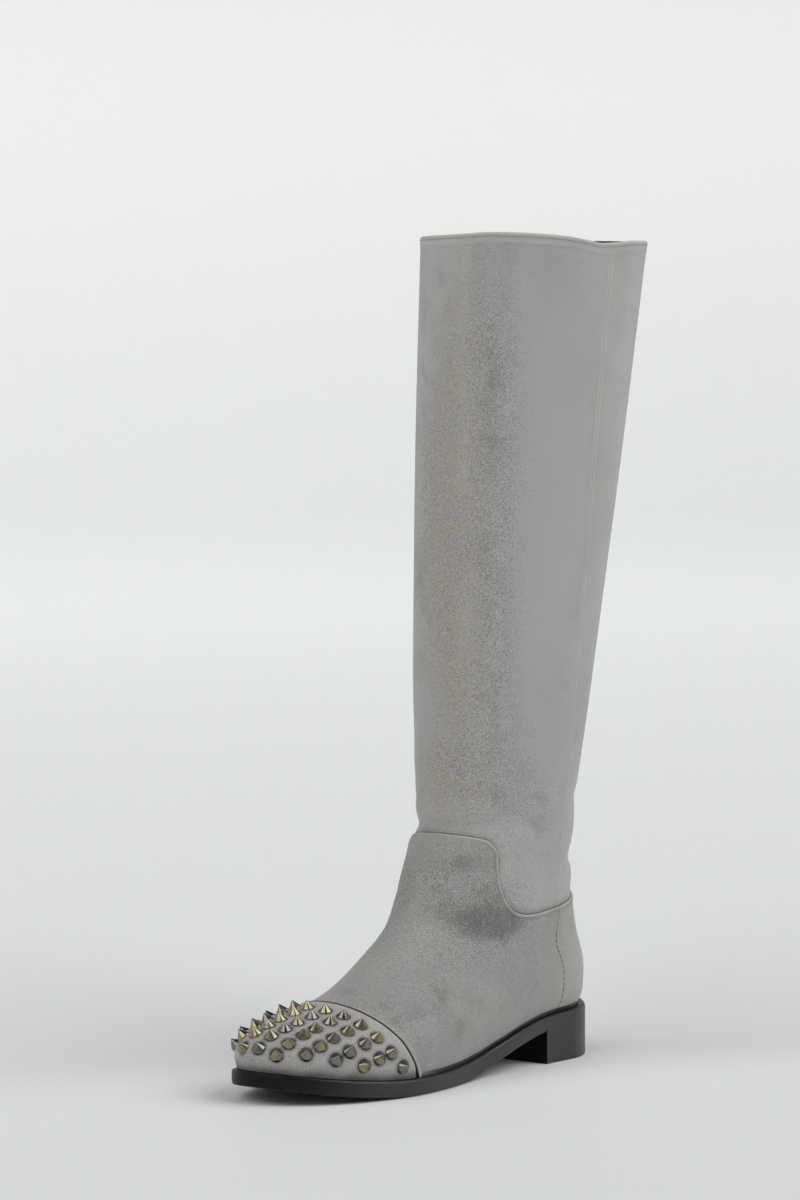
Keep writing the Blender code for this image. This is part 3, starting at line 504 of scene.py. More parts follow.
def upper_surface(turn, row, offset=0.0, creases=0.0):
    """The upper's form, folds and a share of the small creases included, moved outward by an offset."""
    turn, row = np.broadcast_arrays(np.asarray(turn, float), np.asarray(row, float))
    point = upper_point(turn, row)
    outward = np.asarray(offset) - fold_depth(turn, point[..., 2])
    if creases:
        outward = outward - creases * crease_depth(turn, point[..., 2])
    return point + upper_normal(turn, row) * outward[..., None]


def vamp_row(turn):
    turn = np.asarray(turn, float) % 1.0
    return along(VAMP_LINE, np.where(turn <= 0.5, turn, 1 - turn))


def collar_row(turn):
    return COLLAR_ROW - along(COLLAR_LINE, np.asarray(turn, float) % 1.0) / COLLAR_RISE


def s_of(points):
    return ORIGIN_S - points[..., 1]


def zip_per_mm(row):
    """Turns to the millimetre at the zip."""
    centre, step = section("zip", row), 1e-3
    chord = upper_point(centre + step, row) - upper_point(centre - step, row)
    return 2 * step / np.linalg.norm(chord, axis=-1)


ZIP_LOW_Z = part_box("zip_tape")[0].z / MM
ZIP_HIGH_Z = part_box("zip_tape")[1].z / MM
ZIP_ROWS = np.linspace(0, COLLAR_ROW, ZIP_STEPS)
ZIP_HEIGHTS = upper_point(section("zip", ZIP_ROWS), ZIP_ROWS)[:, 2]
ZIP_OPEN = np.maximum(
    ease((ZIP_HEIGHTS - ZIP_LOW_Z) / ZIP_END_RUN + 1) * ease((ZIP_HIGH_Z - ZIP_HEIGHTS) / ZIP_END_RUN + 1),
    SEAM_OPENING)
ZIP_HALF_TURNS = ZIP_OPEN * ZIP_WIDTH / 2 * zip_per_mm(ZIP_ROWS)


def zip_edge(row, side):
    """Turn of the slot's edge ahead of the zip (1) or behind it (-1)."""
    return section("zip", row) + side * np.interp(row, ZIP_ROWS, ZIP_HALF_TURNS)


def zip_row(z):
    return np.interp(z, ZIP_HEIGHTS, ZIP_ROWS)


def edge_shares(count, closeness=0.8):
    """Shares from 0 to 1 that lie closer together near both ends."""
    t = np.linspace(0, 1, count)
    return t - closeness * np.sin(2 * math.pi * t) / (2 * math.pi)


def arc_of(line):
    """Length along a line up to each of its points."""
    return np.concatenate(([0.0], np.cumsum(np.linalg.norm(np.diff(line, axis=0), axis=1))))


def at_arc(arc, values, where):
    """Values given at a line's points, read at other lengths along it."""
    return np.column_stack([np.interp(where, arc, values[:, i]) for i in range(3)])


def lap_shares(start, end, count):
    """Shares of the turns from start to end that lie evenly along the vamp's top edge, closer at the ends."""
    shares = np.linspace(0, 1, LAP_STEPS)
    turns = start + (end - start) * shares
    arc = arc_of(upper_point(turns, vamp_row(turns)))
    return np.interp(edge_shares(count) * arc[-1], arc, shares)


def calm(edge, row):
    """A side edge's turn, averaged over the rows nearby."""
    return sum(edge(row + step) for step in EDGE_STEPS) / len(EDGE_STEPS)


def panel_grid(left, right, low, high, columns, rows):
    """Turns and rows of a panel's grid, settled together because its edges depend on each other."""
    lap_row = zip_row(LAP_HEIGHT)
    across = lap_shares(float(left(lap_row)), float(right(lap_row)), columns)[None, :]
    up = edge_shares(rows)[:, None]
    near_left, near_right = ease(1 - across / EDGE_REACH), ease(1 - (1 - across) / EDGE_REACH)
    row = up * COLLAR_ROW + 0 * across
    for _ in range(SETTLE_ROUNDS):
        calm_left, calm_right = calm(left, row), calm(right, row)
        turn = calm_left + (calm_right - calm_left) * across
        turn = turn + near_left * (left(row) - calm_left) + near_right * (right(row) - calm_right)
        row = low(turn) + (high(turn) - low(turn)) * up
    return turn, row


def lean_of(edge, beside):
    """Sine of the angle between an edge and the grid lines that meet it."""
    return np.linalg.norm(np.cross(unit(np.gradient(edge, axis=0)), unit(beside - edge)), axis=1)


def edge_distances(points):
    """Distances over the surface from a grid's points to its left, right, low and high edge."""
    across = np.linalg.norm(np.diff(points, axis=1), axis=2)
    up = np.linalg.norm(np.diff(points, axis=0), axis=2)
    left = np.pad(np.cumsum(across, axis=1), ((0, 0), (1, 0)))
    low = np.pad(np.cumsum(up, axis=0), ((1, 0), (0, 0)))
    return {
        "left": left * lean_of(points[:, 0], points[:, 1])[:, None],
        "right": (left[:, -1:] - left) * lean_of(points[:, -1], points[:, -2])[:, None],
        "low": low * lean_of(points[0], points[1])[None, :],
        "high": (low[-1:] - low) * lean_of(points[-1], points[-2])[None, :],
        "up": low}


def band(distance, form):
    """A soft band given by its amount, place and half width."""
    amount, place, width = form
    return amount * bell(distance - place, width)


def edge_form(kind, distance):
    """Relief, pale wear with a painted highlight, and painted shade of a panel at a distance from its edge.
    """
    form = EDGE_FORMS[kind]
    height, pale, dark = (
        sum(band(distance, each) for each in form[part]) for part in ("relief", "pale", "dark"))
    depth, radius = form["rounding"]
    height = height - depth * (1 - round_end(distance / radius))
    if kind == "folded":
        height = height - TURNED_STEP * ease((distance - TURNED_WIDTH) / TURNED_STEP_RUN)
        pale = pale + TURNED_WEAR_AND_HIGHLIGHT * ease((TURNED_WIDTH - distance) / TURNED_WEAR_AND_HIGHLIGHT_RUN)
    return height, pale, dark


def patches(table, points):
    """Sum of a table's soft patches at the given points."""
    total = np.zeros(points.shape[:-1])
    for turn, row, around, tall, amount in table:
        away = points - upper_point(turn, row)
        level = np.linalg.norm(away[..., :2], axis=-1)
        total += amount * bell(level, around) * bell(away[..., 2], tall)
    return np.clip(total, 0, 1)


def suede_marks(points, pale, dark, shade_and_dirt):
    marks = {label: patches(table, points) for label, table in PATCHES.items()}
    marks["pale"] = np.clip(np.maximum(pale, marks["pale"]), 0, 1)
    # Of the last two marks, the first is near-black painted shade and the second painted shade, with some
    # dirt along the sole.
    return {**marks, "crevice_shade": np.clip(dark, 0, 1), "shade_and_dirt": np.clip(shade_and_dirt, 0, 1)}


def grid_quads(index, wrap=False):
    if wrap:
        index = np.hstack((index, index[:, :1]))
    return np.stack((index[:-1, :-1], index[:-1, 1:], index[1:, 1:], index[1:, :-1]), -1).reshape(-1, 4)


def shell(outer, inner, wrap=False):
    """Points and quads of the closed wall between two grids of one shape."""
    rows, columns = outer.shape[:2]
    front = np.arange(rows * columns).reshape(rows, columns)
    back = front + rows * columns
    quads = [grid_quads(front, wrap), grid_quads(back, wrap)[:, ::-1]]
    if wrap:
        rims = [(np.append(line[0], line[0][0]), np.append(line[1], line[1][0]))
                for line in ((front[0], back[0]), (front[-1][::-1], back[-1][::-1]))]
    else:
        rims = [[np.concatenate((grid[0], grid[1:, -1], grid[-1, -2::-1], grid[-2::-1, 0]))
                 for grid in (front, back)]]
    for near, far in rims:
        quads.append(np.stack((near[1:], near[:-1], far[:-1], far[1:]), -1))
    return np.vstack((outer.reshape(-1, 3), inner.reshape(-1, 3))), np.vstack(quads)


def tube(loops, flipped=False):
    """Points and faces of closed loops in a row, both ends closed."""
    count = len(loops[0])
    index = np.arange(len(loops) * count).reshape(len(loops), count)
    faces = grid_quads(index, True).tolist() + [index[0, ::-1].tolist(), index[-1].tolist()]
    return np.vstack(loops), [face[::-1] for face in faces] if flipped else faces


def add_object(name, data):
    made = bpy.data.objects.new(name, data)
    bpy.context.scene.collection.objects.link(made)
    return made


def add_piece(name, points, faces, finish, body="boot", replaced=(), marks=None, sharp=50.0):
    """Make a mesh of points in millimetres, let it ride a body and stand for solids of the frame."""
    mesh = bpy.data.meshes.new(name)
    mesh.from_pydata((np.asarray(points) * MM).tolist(), [], [list(map(int, face)) for face in faces])
    mesh.update()
    mesh.shade_smooth()
    mesh.set_sharp_from_angle(angle=math.radians(sharp))
    mesh.materials.append(finish)
    for label, values in (marks or {}).items():
        layer = mesh.attributes.new(label, "FLOAT", "POINT")
        layer.data.foreach_set("value", np.asarray(values, np.float32).ravel())
    piece = add_object(name, mesh)
    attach(piece, body)
    if replaced:
        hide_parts(*replaced)
    return piece


def twice(marks):
    """Marks of a grid, repeated for the inner side of its wall."""
    return {label: np.concatenate((values.ravel(), values.ravel())) for label, values in marks.items()}


def wall_panel(name, grid, lift, inner, edges, finish, extra):
    """A suede panel: closed wall over a grid, its edges of the given kinds, with extra forms and marks."""
    turn, row = grid
    base = upper_surface(turn, row, 0.0, 1.0)
    normal = upper_normal(turn, row)
    distance = edge_distances(base)
    height, pale, dark, shade_and_dirt = extra(turn, row, base, distance)
    height = height + np.full(turn.shape, lift)
    for edge, kind in edges.items():
        rise, light, shade = edge_form(kind, distance[edge])
        height, pale, dark = height + rise, np.maximum(pale, light), np.maximum(dark, shade)
    outer = base + normal * height[..., None]
    inside = base + normal * np.minimum(inner, height - LEAST_THICKNESS)[..., None]
    points, quads = shell(outer, inside)
    marks = twice(suede_marks(upper_point(turn, row), pale, dark, shade_and_dirt))
    add_piece(name, points, quads, finish, replaced=("upper",), marks=marks)


def under_vamp(turn, row, base, distance):
    """Relief and pale marks (none here), painted shade and a wider painted shade of the shaft just above the
    lapped edge of the vamp.
    """
    line = vamp_row(turn[0])
    start = np.array([np.interp(line[i], row[:, i], distance["up"][:, i]) for i in range(turn.shape[1])])
    lean = lean_of(upper_point(turn[0], line), upper_point(turn[0], line + LAP_ROW_STEP))
    above = (distance["up"] - start[None, :]) * lean[None, :]
    return 0.0, 0.0, band(above, LAP_SHADE), band(np.maximum(above, 0), LAP_WIDE_SHADE)


def beside_sole(turn, row, base, distance):
    """Relief, pale marks (none here), painted shade and a wider band of painted shade with some dirt of the
    foot, which tucks in at the sole.
    """
    low = distance["low"]
    behind_ball = ease((BAND_START - s_of(base)) / BAND_RUN)
    # Near-black painted shade on the suede along the sole behind the ball of the foot.
    gap_shade = behind_ball * ease((BAND_HEIGHT - low) / BAND_FADE)
    return -band(low, SOLE_TUCK), 0.0, np.maximum(gap_shade, band(low, SOLE_SHADE)), band(low, SOLE_SHADE_AND_DIRT)


def make_upper_panels(suede, foot_suede):
    def zip_front(row):
        return zip_edge(row, 1) - 1.0

    def zip_back(row):
        return zip_edge(row, -1)

    def side_seam(row):
        return along(SIDE_SEAM, row)

    def counter_seam(row):
        return along(COUNTER_SEAM, row)

    def shaft_foot(turn):
        return vamp_row(turn) - SHAFT_TUCK

    def feather(turn):
        return np.zeros(np.shape(turn))

    panels = (
        ("shaft_front", zip_front, side_seam, "folded", "seam"),
        ("shaft_back", side_seam, zip_back, "seam", "folded"),
        ("vamp", zip_front, counter_seam, "folded", "counter"),
        ("counter", counter_seam, zip_back, "counter", "folded"))
    for name, left, right, left_kind, right_kind in panels:
        edges = {"left": left_kind, "right": right_kind}
        if name.startswith("shaft"):
            grid = panel_grid(left, right, shaft_foot, collar_row, *PANEL_STEPS[name])
            wall_panel(name, grid, 0.0, -SUEDE_THICKNESS, {"high": "folded", **edges}, suede, under_vamp)
        else:
            grid = panel_grid(left, right, feather, vamp_row, *PANEL_STEPS[name])
            wall_panel(name, grid, VAMP_LAP, VAMP_INNER, {"high": "cut", **edges}, foot_suede, beside_sole)


def make_lining(finish):
    columns, rows = LINING_STEPS
    turn = np.arange(columns)[None, :] / columns
    row = np.linspace(LINING_FIRST_ROW, COLLAR_ROW - LINING_DROP, rows)[:, None]
    row = row * collar_row(turn) / COLLAR_ROW
    sink = LINING_SINK * ease((COLLAR_ROW - LINING_SINK_START - row) / LINING_SINK_RUN)
    outer, inner = (upper_surface(turn, row, offset - sink) for offset in (LINING_OUTER, LINING_INNER))
    points, quads = shell(outer, inner, True)
    add_piece("lining", points, quads, finish)


def cap_turns(rows, side):
    """Turns where each row crosses the cap's rear edge."""
    low, high = np.zeros(len(rows)), np.full(len(rows), CAP_REACH)
    for _ in range(CAP_HALVINGS):
        middle = (low + high) / 2
        point = upper_point(side * middle, rows)
        in_front = s_of(point) > along(CAP_LINE, point[:, 2])
        low, high = np.where(in_front, middle, low), np.where(in_front, high, middle)
    return side * (low + high) / 2


def cap_top_row():
    """Row whose foremost point lies on the cap's rear edge."""
    points = upper_point(0.0, CAP_TOP_ROWS)
    return CAP_TOP_ROWS[np.argmin(np.abs(s_of(points) - along(CAP_LINE, points[:, 2])))]


def cap_rows(shares):
    """Rows at the given shares of the way from the cap's foot to the top of its rear edge."""
    return CAP_FIRST_ROW + (cap_top_row() - CAP_FIRST_ROW - CAP_ROW_GAP) * shares


def make_toe_cap(finish, studs):
    rows = cap_rows(edge_shares(CAP_STEPS[0]))
    left, right = cap_turns(rows, -1), cap_turns(rows, 1)
    turn = left[:, None] + (right - left)[:, None] * edge_shares(CAP_STEPS[1])[None, :]
    row = np.broadcast_to(rows[:, None], turn.shape)
    base, normal = upper_surface(turn, row), upper_normal(turn, row)
    ahead = s_of(base) - along(CAP_LINE, base[..., 2])
    low = edge_distances(base)["low"]
    height = CAP_OUTER - band(ahead, CAP_EDGE_DROP) - band(low, CAP_FOOT_DROP)
    outer = base + normal * height[..., None]
    inner = base + normal * np.minimum(CAP_INNER, height - LEAST_THICKNESS)[..., None]
    ring = np.min([np.linalg.norm(outer - tip + axis * STUD_HEIGHT, axis=-1) for tip, axis in studs], axis=0)
    beside_stud = STUD_SHADE * ease((STUD_SHADE_REACH - ring) / STUD_SHADE_RUN)
    dark = np.maximum(np.maximum(band(ahead, CAP_EDGE_SHADE), beside_stud), band(low, CAP_FOOT_SHADE))
    # A wider darker band above the cap's foot and around the studs: painted shade, with some dirt at the
    # foot.
    shade_and_dirt = np.maximum(band(low, CAP_FOOT_SHADE_AND_DIRT), band(ring, STUD_RING_SHADE))
    points, quads = shell(outer, inner)
    marks = twice(suede_marks(upper_point(turn, row), band(ahead, CAP_EDGE_WEAR_AND_HIGHLIGHT), dark, shade_and_dirt))
    add_piece("toe_cap_suede", points, quads, finish, replaced=("toe_cap",), marks=marks)


def make_cap_seam(suede):
    """The vamp's turned edge, standing up beside the rear edge of the cap."""
    rows = cap_rows(np.linspace(0, 1, CAP_SEAM_ROWS))
    turn = np.concatenate((cap_turns(rows, 1), [0.0], cap_turns(rows, -1)[::-1]))
    row = np.concatenate((rows, [cap_top_row()], rows[::-1]))
    line, normal = upper_surface(turn, row), upper_normal(turn, row)
    arc = arc_of(line)
    even = np.linspace(0, arc[-1], CAP_SEAM_STEPS)
    line, normal = at_arc(arc, line, even), unit(at_arc(arc, normal, even))
    behind = np.cross(normal, unit(np.gradient(line, axis=0)))
    behind = behind * np.sign(behind[len(behind) // 2, 1])
    rungs = [line + behind * away + normal * height for away, height in CAP_SEAM_PROFILE]
    outer = np.stack(rungs, 1)
    inner = np.stack([rung - normal * SUEDE_THICKNESS for rung in rungs], 1)
    away = np.broadcast_to(np.array(CAP_SEAM_PROFILE)[:, 0], outer.shape[:2])
    # The ridge is paler, wear with a painted highlight, and the seam darker, painted shade.
    marks = suede_marks(outer, band(away, CAP_SEAM_WEAR_AND_HIGHLIGHT), band(away, CAP_SEAM_SHADE), 0.0 * away)
    points, quads = shell(outer, inner)
    add_piece("cap_seam_edge", points, quads, suede, marks=twice(marks), sharp=70.0)


def raised_stud(tip, axis):
    """Tip and axis of a stud, turned up where the cap bends from its wall to its top."""
    seat = tip - axis * STUD_HEIGHT
    slope = math.asin(axis[2])
    slope = slope + math.radians(STUD_RAISE) * bell(math.degrees(slope) - STUD_BEND, STUD_BEND_REACH)
    level = unit(axis * (1, 1, 0))
    axis = level * math.cos(slope) + np.array((0.0, 0.0, math.sin(slope)))
    return seat + axis * STUD_HEIGHT, axis


def stud_seats():
    """Tip and axis of every stud of the frame, in millimetres."""
    seats = []
    for name, node in sorted(frame["nodes"].items()):
        if name.startswith("stud_"):
            points = np.array([vertex.co for vertex in node.data.vertices]) / MM
            away = np.linalg.norm(points - points.mean(axis=0), axis=1)
            tip = points[np.argmax(away)]
            ring = points[np.linalg.norm(points - tip, axis=1) > 1.0].mean(axis=0)
            seats.append(raised_stud(tip, unit(tip - ring)))
    return seats


def frame_about(axis):
    """Two unit vectors square to an axis."""
    helper = np.array((0.0, 0.0, 1.0)) if abs(axis[2]) < 0.9 else np.array((1.0, 0.0, 0.0))
    first = unit(np.cross(helper, axis))
    return first, np.cross(axis, first)


def make_studs(finish, studs):
    angles = np.arange(STUD_SIDES) * 2 * math.pi / STUD_SIDES
    count = len(STUD_PROFILE)
    full_height = STUD_HEIGHT + STUD_SINK
    points, faces, tints = [], [], []
    for tip, axis in studs:
        first, second = frame_about(axis)
        seat = tip - axis * full_height
        spread = np.cos(angles)[:, None] * first + np.sin(angles)[:, None] * second
        start = sum(len(block) for block in points)
        rings = [seat + spread * STUD_RADIUS * radius + axis * full_height * height
                 for radius, height in STUD_PROFILE]
        points.append(np.vstack((*rings, seat + axis * full_height * STUD_TIP)))
        index = start + np.arange(count * STUD_SIDES).reshape(count, STUD_SIDES)
        faces += grid_quads(index, True).tolist()
        point = start + count * STUD_SIDES
        faces += [(index[-1, i], index[-1, (i + 1) % STUD_SIDES], point) for i in range(STUD_SIDES)]
        faces.append(index[0, ::-1].tolist())
        tints.append(np.full(len(points[-1]), STUD_TINTS[len(tints) % len(STUD_TINTS)]))
    nodes = [name for name in frame["nodes"] if name.startswith("stud_")]
    add_piece("studs", np.vstack(points), faces, finish, replaced=nodes,
              marks={"tint": np.concatenate(tints)}, sharp=60.0)


def sole_outline(stand_out, steps):
    turns = np.arange(2 * steps) / (2 * steps)
    feather = upper_point(turns, 0.0)
    level = unit(upper_normal(turns, 0.0) * (1, 1, 0))
    reach = HEEL_REACH * ease((HEEL_REACH_START - s_of(feather)) / HEEL_REACH_RUN)
    away = stand_out + reach if stand_out > 0 else np.full(len(turns), stand_out)
    return feather[:, :2] + level[:, :2] * away[:, None]


def stack_loops(loops, closing):
    """Points and faces of stacked closed loops, the first and last closed by the given rungs."""
    count = len(loops[0])
    index = np.arange(len(loops) * count).reshape(len(loops), count)
    faces = grid_quads(index, True).tolist()
    faces += [face[::-1] for face in closing(index[0].tolist())]
    faces += closing(index[-1].tolist())
    return np.vstack(loops), faces


def rungs_from_toe(loop):
    half = len(loop) // 2
    faces = [(loop[0], loop[1], loop[-1])]
    faces += [(loop[i], loop[i + 1], loop[-i - 1], loop[-i]) for i in range(1, half - 1)]
    return faces + [(loop[half - 1], loop[half], loop[half + 1])]


def rungs_from_breast(loop):
    half = len(loop) // 2
    faces = [(loop[i], loop[i + 1], loop[-i - 2], loop[-i - 1]) for i in range(half - 1)]
    return faces + [(loop[half - 1], loop[half], loop[half + 1])]


def sole_sheen(points):
    return {"sheen": ease((SHEEN_START - s_of(points)) / SHEEN_RUN)}


def sole_levels(plan):
    """Heights of the sole's underside and of the feather line over a plan's points."""
    return along(UNDERSIDE, s_of(plan)), along(FEATHER, s_of(plan))


def make_outsole(finish):
    loops = []
    for share, stand_out in SOLE_EDGE:
        plan = sole_outline(stand_out, SOLE_STEPS)
        low, high = sole_levels(plan)
        loops.append(np.column_stack((plan, low + (high - low) * share)))
    points, faces = stack_loops(loops, rungs_from_toe)
    add_piece("outsole_rubber", points, faces, finish, replaced=("outsole",),
              marks=sole_sheen(points), sharp=60.0)


def heel_outline(stand_out):
    """Lateral half of the heel's plan from its breast to its back, then the medial half."""
    plan = sole_outline(stand_out, HEEL_PLAN_STEPS)
    half = len(plan) // 2
    sides = []
    for points in (plan[: half + 1], np.vstack((plan[:1], plan[:half - 1:-1]))):
        s = s_of(points)
        reach = HEEL_BREAST + min(stand_out, 0.0) - s[-1]
        wanted = s[-1] + reach * (1 - np.sin(np.linspace(0, math.pi / 2, HEEL_STEPS + 1)))
        x = np.interp(wanted, s[::-1], points[::-1, 0])
        sides.append(np.column_stack((x, ORIGIN_S - wanted)))
    return np.vstack((sides[0], sides[1][-2::-1]))


def make_heel(finish, breast_shade_finish):
    loops = []
    for share, stand_out in HEEL_EDGE:
        plan = heel_outline(stand_out)
        low, high = sole_levels(plan)
        loops.append(np.column_stack((plan, low * min(share, 1.0) + (high - low) * max(share - 1.0, 0.0))))
    points, faces = stack_loops(loops, rungs_from_breast)
    heel = add_piece("heel_block", points, faces, finish, replaced=("heel",),
                     marks=sole_sheen(points), sharp=40.0)
    # The breast gets a darker copy of the rubber: painted shade.
    heel.data.materials.append(breast_shade_finish)
    for face in heel.data.polygons:
        if face.normal.y < BREAST_NORMAL:
            face.material_index = 1


def stitch_run(path, normals, pitch):
    """Points and faces of a row of stitches along a path on a surface."""
    arc = arc_of(path)
    places = np.arange(pitch / 2, arc[-1], pitch)
    centre = at_arc(arc, path, places)
    lengthwise = unit(at_arc(arc, path, places + STITCH_STEP) - at_arc(arc, path, places - STITCH_STEP))
    up = unit(at_arc(arc, normals, places))
    sideways = np.cross(up, lengthwise)
    points = []
    for reach, girth, height in STITCH_RINGS:
        middle = centre + lengthwise * reach * STITCH_LENGTH / 2 + up * height
        for i in range(STITCH_SIDES):
            angle = 2 * math.pi * i / STITCH_SIDES
            away = sideways * math.cos(angle) + up * math.sin(angle)
            points.append(middle + away * STITCH_RADIUS * girth)
    template = np.arange(len(points)).reshape(len(STITCH_RINGS), STITCH_SIDES)
    ends = [[end[0], end[i], end[i + 1]]
            for end in (template[0, ::-1], template[-1]) for i in range(1, STITCH_SIDES - 1)]
    starts = np.arange(len(places))[:, None, None] * len(points)
    faces = (grid_quads(template, True)[None] + starts).reshape(-1, 4).tolist()
    faces += (np.array(ends)[None] + starts).reshape(-1, 3).tolist()
    return np.stack(points, 1).reshape(-1, 3), faces


def join_runs(runs):
    points, faces, start = [], [], 0
    for run_points, run_faces in runs:
        points.append(run_points)
        faces += [[corner + start for corner in face] for face in run_faces]
        start += len(run_points)
    return np.vstack(points), faces


def beside_line(turn, row, inset, offset):
    """Path beside a line on the upper, moved below it by inset, with the surface's normals."""
    line = upper_surface(turn, row, offset, 1.0)
    normal = upper_normal(turn, row)
    tangent = unit(np.gradient(line, axis=0))
    return line - np.cross(normal, tangent) * inset, normal


def make_stitches(thread, hole_shade_thread):
    turns = np.linspace(0, 1, LINE_STEPS)
    collar = stitch_run(*beside_line(turns, collar_row(turns) - COLLAR_GAP, COLLAR_STITCH, 0.0), STITCH_PITCH)
    lap_start = zip_edge(zip_row(LAP_START_HEIGHT), 1) - 1 + LAP_END_TURNS
    lap_end = float(section("zip", zip_row(LAP_HEIGHT))) - LAP_END_TURNS
    lap = np.linspace(lap_start, lap_end, LINE_STEPS)
    vamp = stitch_run(*beside_line(lap, vamp_row(lap), VAMP_STITCH, VAMP_LAP), STITCH_PITCH)
    zip_rows = np.linspace(zip_row(ZIP_LOW_Z), zip_row(ZIP_HIGH_Z), ZIP_LINE_STEPS)
    sides = []
    for side in (-1, 1):
        turn = zip_edge(zip_rows, side) + side * ZIP_STITCH * zip_per_mm(zip_rows)
        path = upper_surface(turn, zip_rows, np.where(zip_rows < vamp_row(turn), VAMP_LAP, 0.0), 1.0)
        sides.append(stitch_run(path, upper_normal(turn, zip_rows), STITCH_PITCH))
    points, faces = join_runs([collar, vamp, *sides])
    add_piece("stitches", points, faces, thread)
    # The counter seam's stitches are dark: painted shade of their holes.
    turns = along(COUNTER_SEAM, COUNTER_ROWS)
    path = upper_surface(turns, COUNTER_ROWS, VAMP_LAP - COUNTER_SINK, 1.0)
    points, faces = stitch_run(path, upper_normal(turns, COUNTER_ROWS), COUNTER_PITCH)
    add_piece("counter_stitches", points, faces, hole_shade_thread)


def zip_place(across, row, height):
    """Point beside the zip's middle line."""
    return upper_surface(section("zip", row) + across * zip_per_mm(row), row, height)


def make_zip_tape(finish):
    rows = np.linspace(zip_row(ZIP_LOW_Z - TAPE_OVERRUN), zip_row(ZIP_HIGH_Z + TAPE_OVERRUN), TAPE_STEPS)
    loops = [np.stack([zip_place(across, row, height) for across, height in TAPE_PROFILE]) for row in rows]
    points, faces = tube(loops)
    add_piece("zip_tape_cloth", points, faces, finish, replaced=("zip_tape",))


def make_zip_teeth(finish):
    """Teeth of both sides, those of one side between those of the other."""
    rows = np.linspace(zip_row(ZIP_LOW_Z + TEETH_INSET), zip_row(ZIP_HIGH_Z - TEETH_INSET), TEETH_STEPS)
    arc = arc_of(zip_place(0.0, rows, 0.0))
    runs = []
    for side in (-1, 1):
        for place in np.arange((side + 3) * TOOTH_PITCH / 4, arc[-1], TOOTH_PITCH):
            row = float(np.interp(place, arc, rows))
            centre = zip_place(0.0, row, 0.0)
            up = upper_normal(section("zip", row), row)
            lengthwise = unit(zip_place(0.0, row + TOOTH_ROW_STEP, 0.0) - centre)
            sideways = np.cross(lengthwise, up) * side
            plan = np.array([sideways * a + lengthwise * b for a, b in TOOTH_PLAN])
            loops = [centre + plan * scale + up * level for level, scale in TOOTH_LEVELS]
            runs.append(tube(loops, side < 0))
    points, faces = join_runs(runs)
    add_piece("zip_teeth", points, faces, finish, sharp=30.0)


def plate(outlines, thickness, bevel):
    """Mesh of a flat plate with rounded edges, its outline and holes given as closed lines, about z = 0."""
    curve = bpy.data.curves.new("plate_form", "CURVE")
    curve.dimensions = "2D"
    curve.fill_mode = "BOTH"
    curve.extrude = (thickness / 2 - bevel) * MM
    curve.bevel_depth = bevel * MM
    curve.bevel_resolution = 3
    curve.offset = -bevel * MM
    for outline in outlines:
        spline = curve.splines.new("POLY")
        spline.points.add(len(outline) - 1)
        for point, (a, b) in zip(spline.points, outline):
            point.co = (a * MM, b * MM, 0.0, 1.0)
        spline.use_cyclic_u = True
    form = add_object("plate_form", curve)
    bpy.context.view_layer.update()
    mesh = bpy.data.meshes.new_from_object(form.evaluated_get(bpy.context.evaluated_depsgraph_get()))
    points = np.array([vertex.co for vertex in mesh.vertices]) / MM
    faces = [list(face.vertices) for face in mesh.polygons]
    bpy.data.objects.remove(form, do_unlink=True)
    bpy.data.curves.remove(curve)
    bpy.data.meshes.remove(mesh)
    return points, faces


def rounded(outline, times=3):
    """Cut the corners of a closed line again and again."""
    points = np.array(outline, float)
    for _ in range(times):
        after = np.roll(points, -1, axis=0)
        points = np.stack((0.75 * points + 0.25 * after, 0.25 * points + 0.75 * after), 1).reshape(-1, 2)
    return points


def box_line(half, first, last):
    return (-half, first), (half, first), (half, last), (-half, last)


def placed(points, origin, *axes):
    """Points given along three axes from an origin."""
    return origin + points @ np.array(axes)


def zip_frame():
    """The pull's hinge with the slider's axes: across, down along the zip and outward."""
    hinge = np.array(frame["joints"][0]["pos_m"]) / MM
    row = zip_row(hinge[2])
    outward = upper_normal(section("zip", row), row)
    across = unit(np.array(frame["joints"][0]["axis"], float))
    down = np.cross(outward, across)
    return hinge, across, down if down[2] < 0 else -down, outward


def make_zip_slider(finish):
    hinge, across, down, outward = zip_frame()
    seat = hinge - outward * (SLIDER_THICKNESS + (BRIDGE_HEIGHT - BRIDGE_BAR) / 2)
    plan = rounded(np.array(SLIDER_PLAN) * (SLIDER_WIDTH / 2, SLIDER_LENGTH / 2), 2)
    runs = []
    for middle, thickness, scale in SLIDER_PLATES:
        points, faces = plate([plan * scale], thickness, min(SLIDER_ROUNDING, thickness / 2 - SLIDER_RIM))
        runs.append((points + (0, 0, middle), faces))
    bar = rounded(box_line(0.5, -0.5, 0.5), 2)
    reach, rise = BRIDGE_SPAN - BRIDGE_BAR / 2, BRIDGE_HEIGHT - BRIDGE_BAR / 2
    loops = []
    for angle in np.linspace(-BRIDGE_OVERRUN, math.pi + BRIDGE_OVERRUN, BRIDGE_STEPS):
        level = SLIDER_THICKNESS - BRIDGE_SINK + (rise + BRIDGE_SINK) * math.sin(angle)
        middle = np.array((0.0, reach * math.cos(angle), level))
        away = unit(np.array((0.0, rise * math.cos(angle), reach * math.sin(angle))))
        loops.append(np.stack([middle + (BRIDGE_WIDTH * a, 0, 0) + away * BRIDGE_BAR * b for a, b in bar]))
    runs.append(tube(loops, True))
    points, faces = join_runs(runs)
    add_piece("zip_slider_body", placed(points, seat, across, down, outward), faces, finish,
              replaced=("zip_slider",), sharp=35.0)


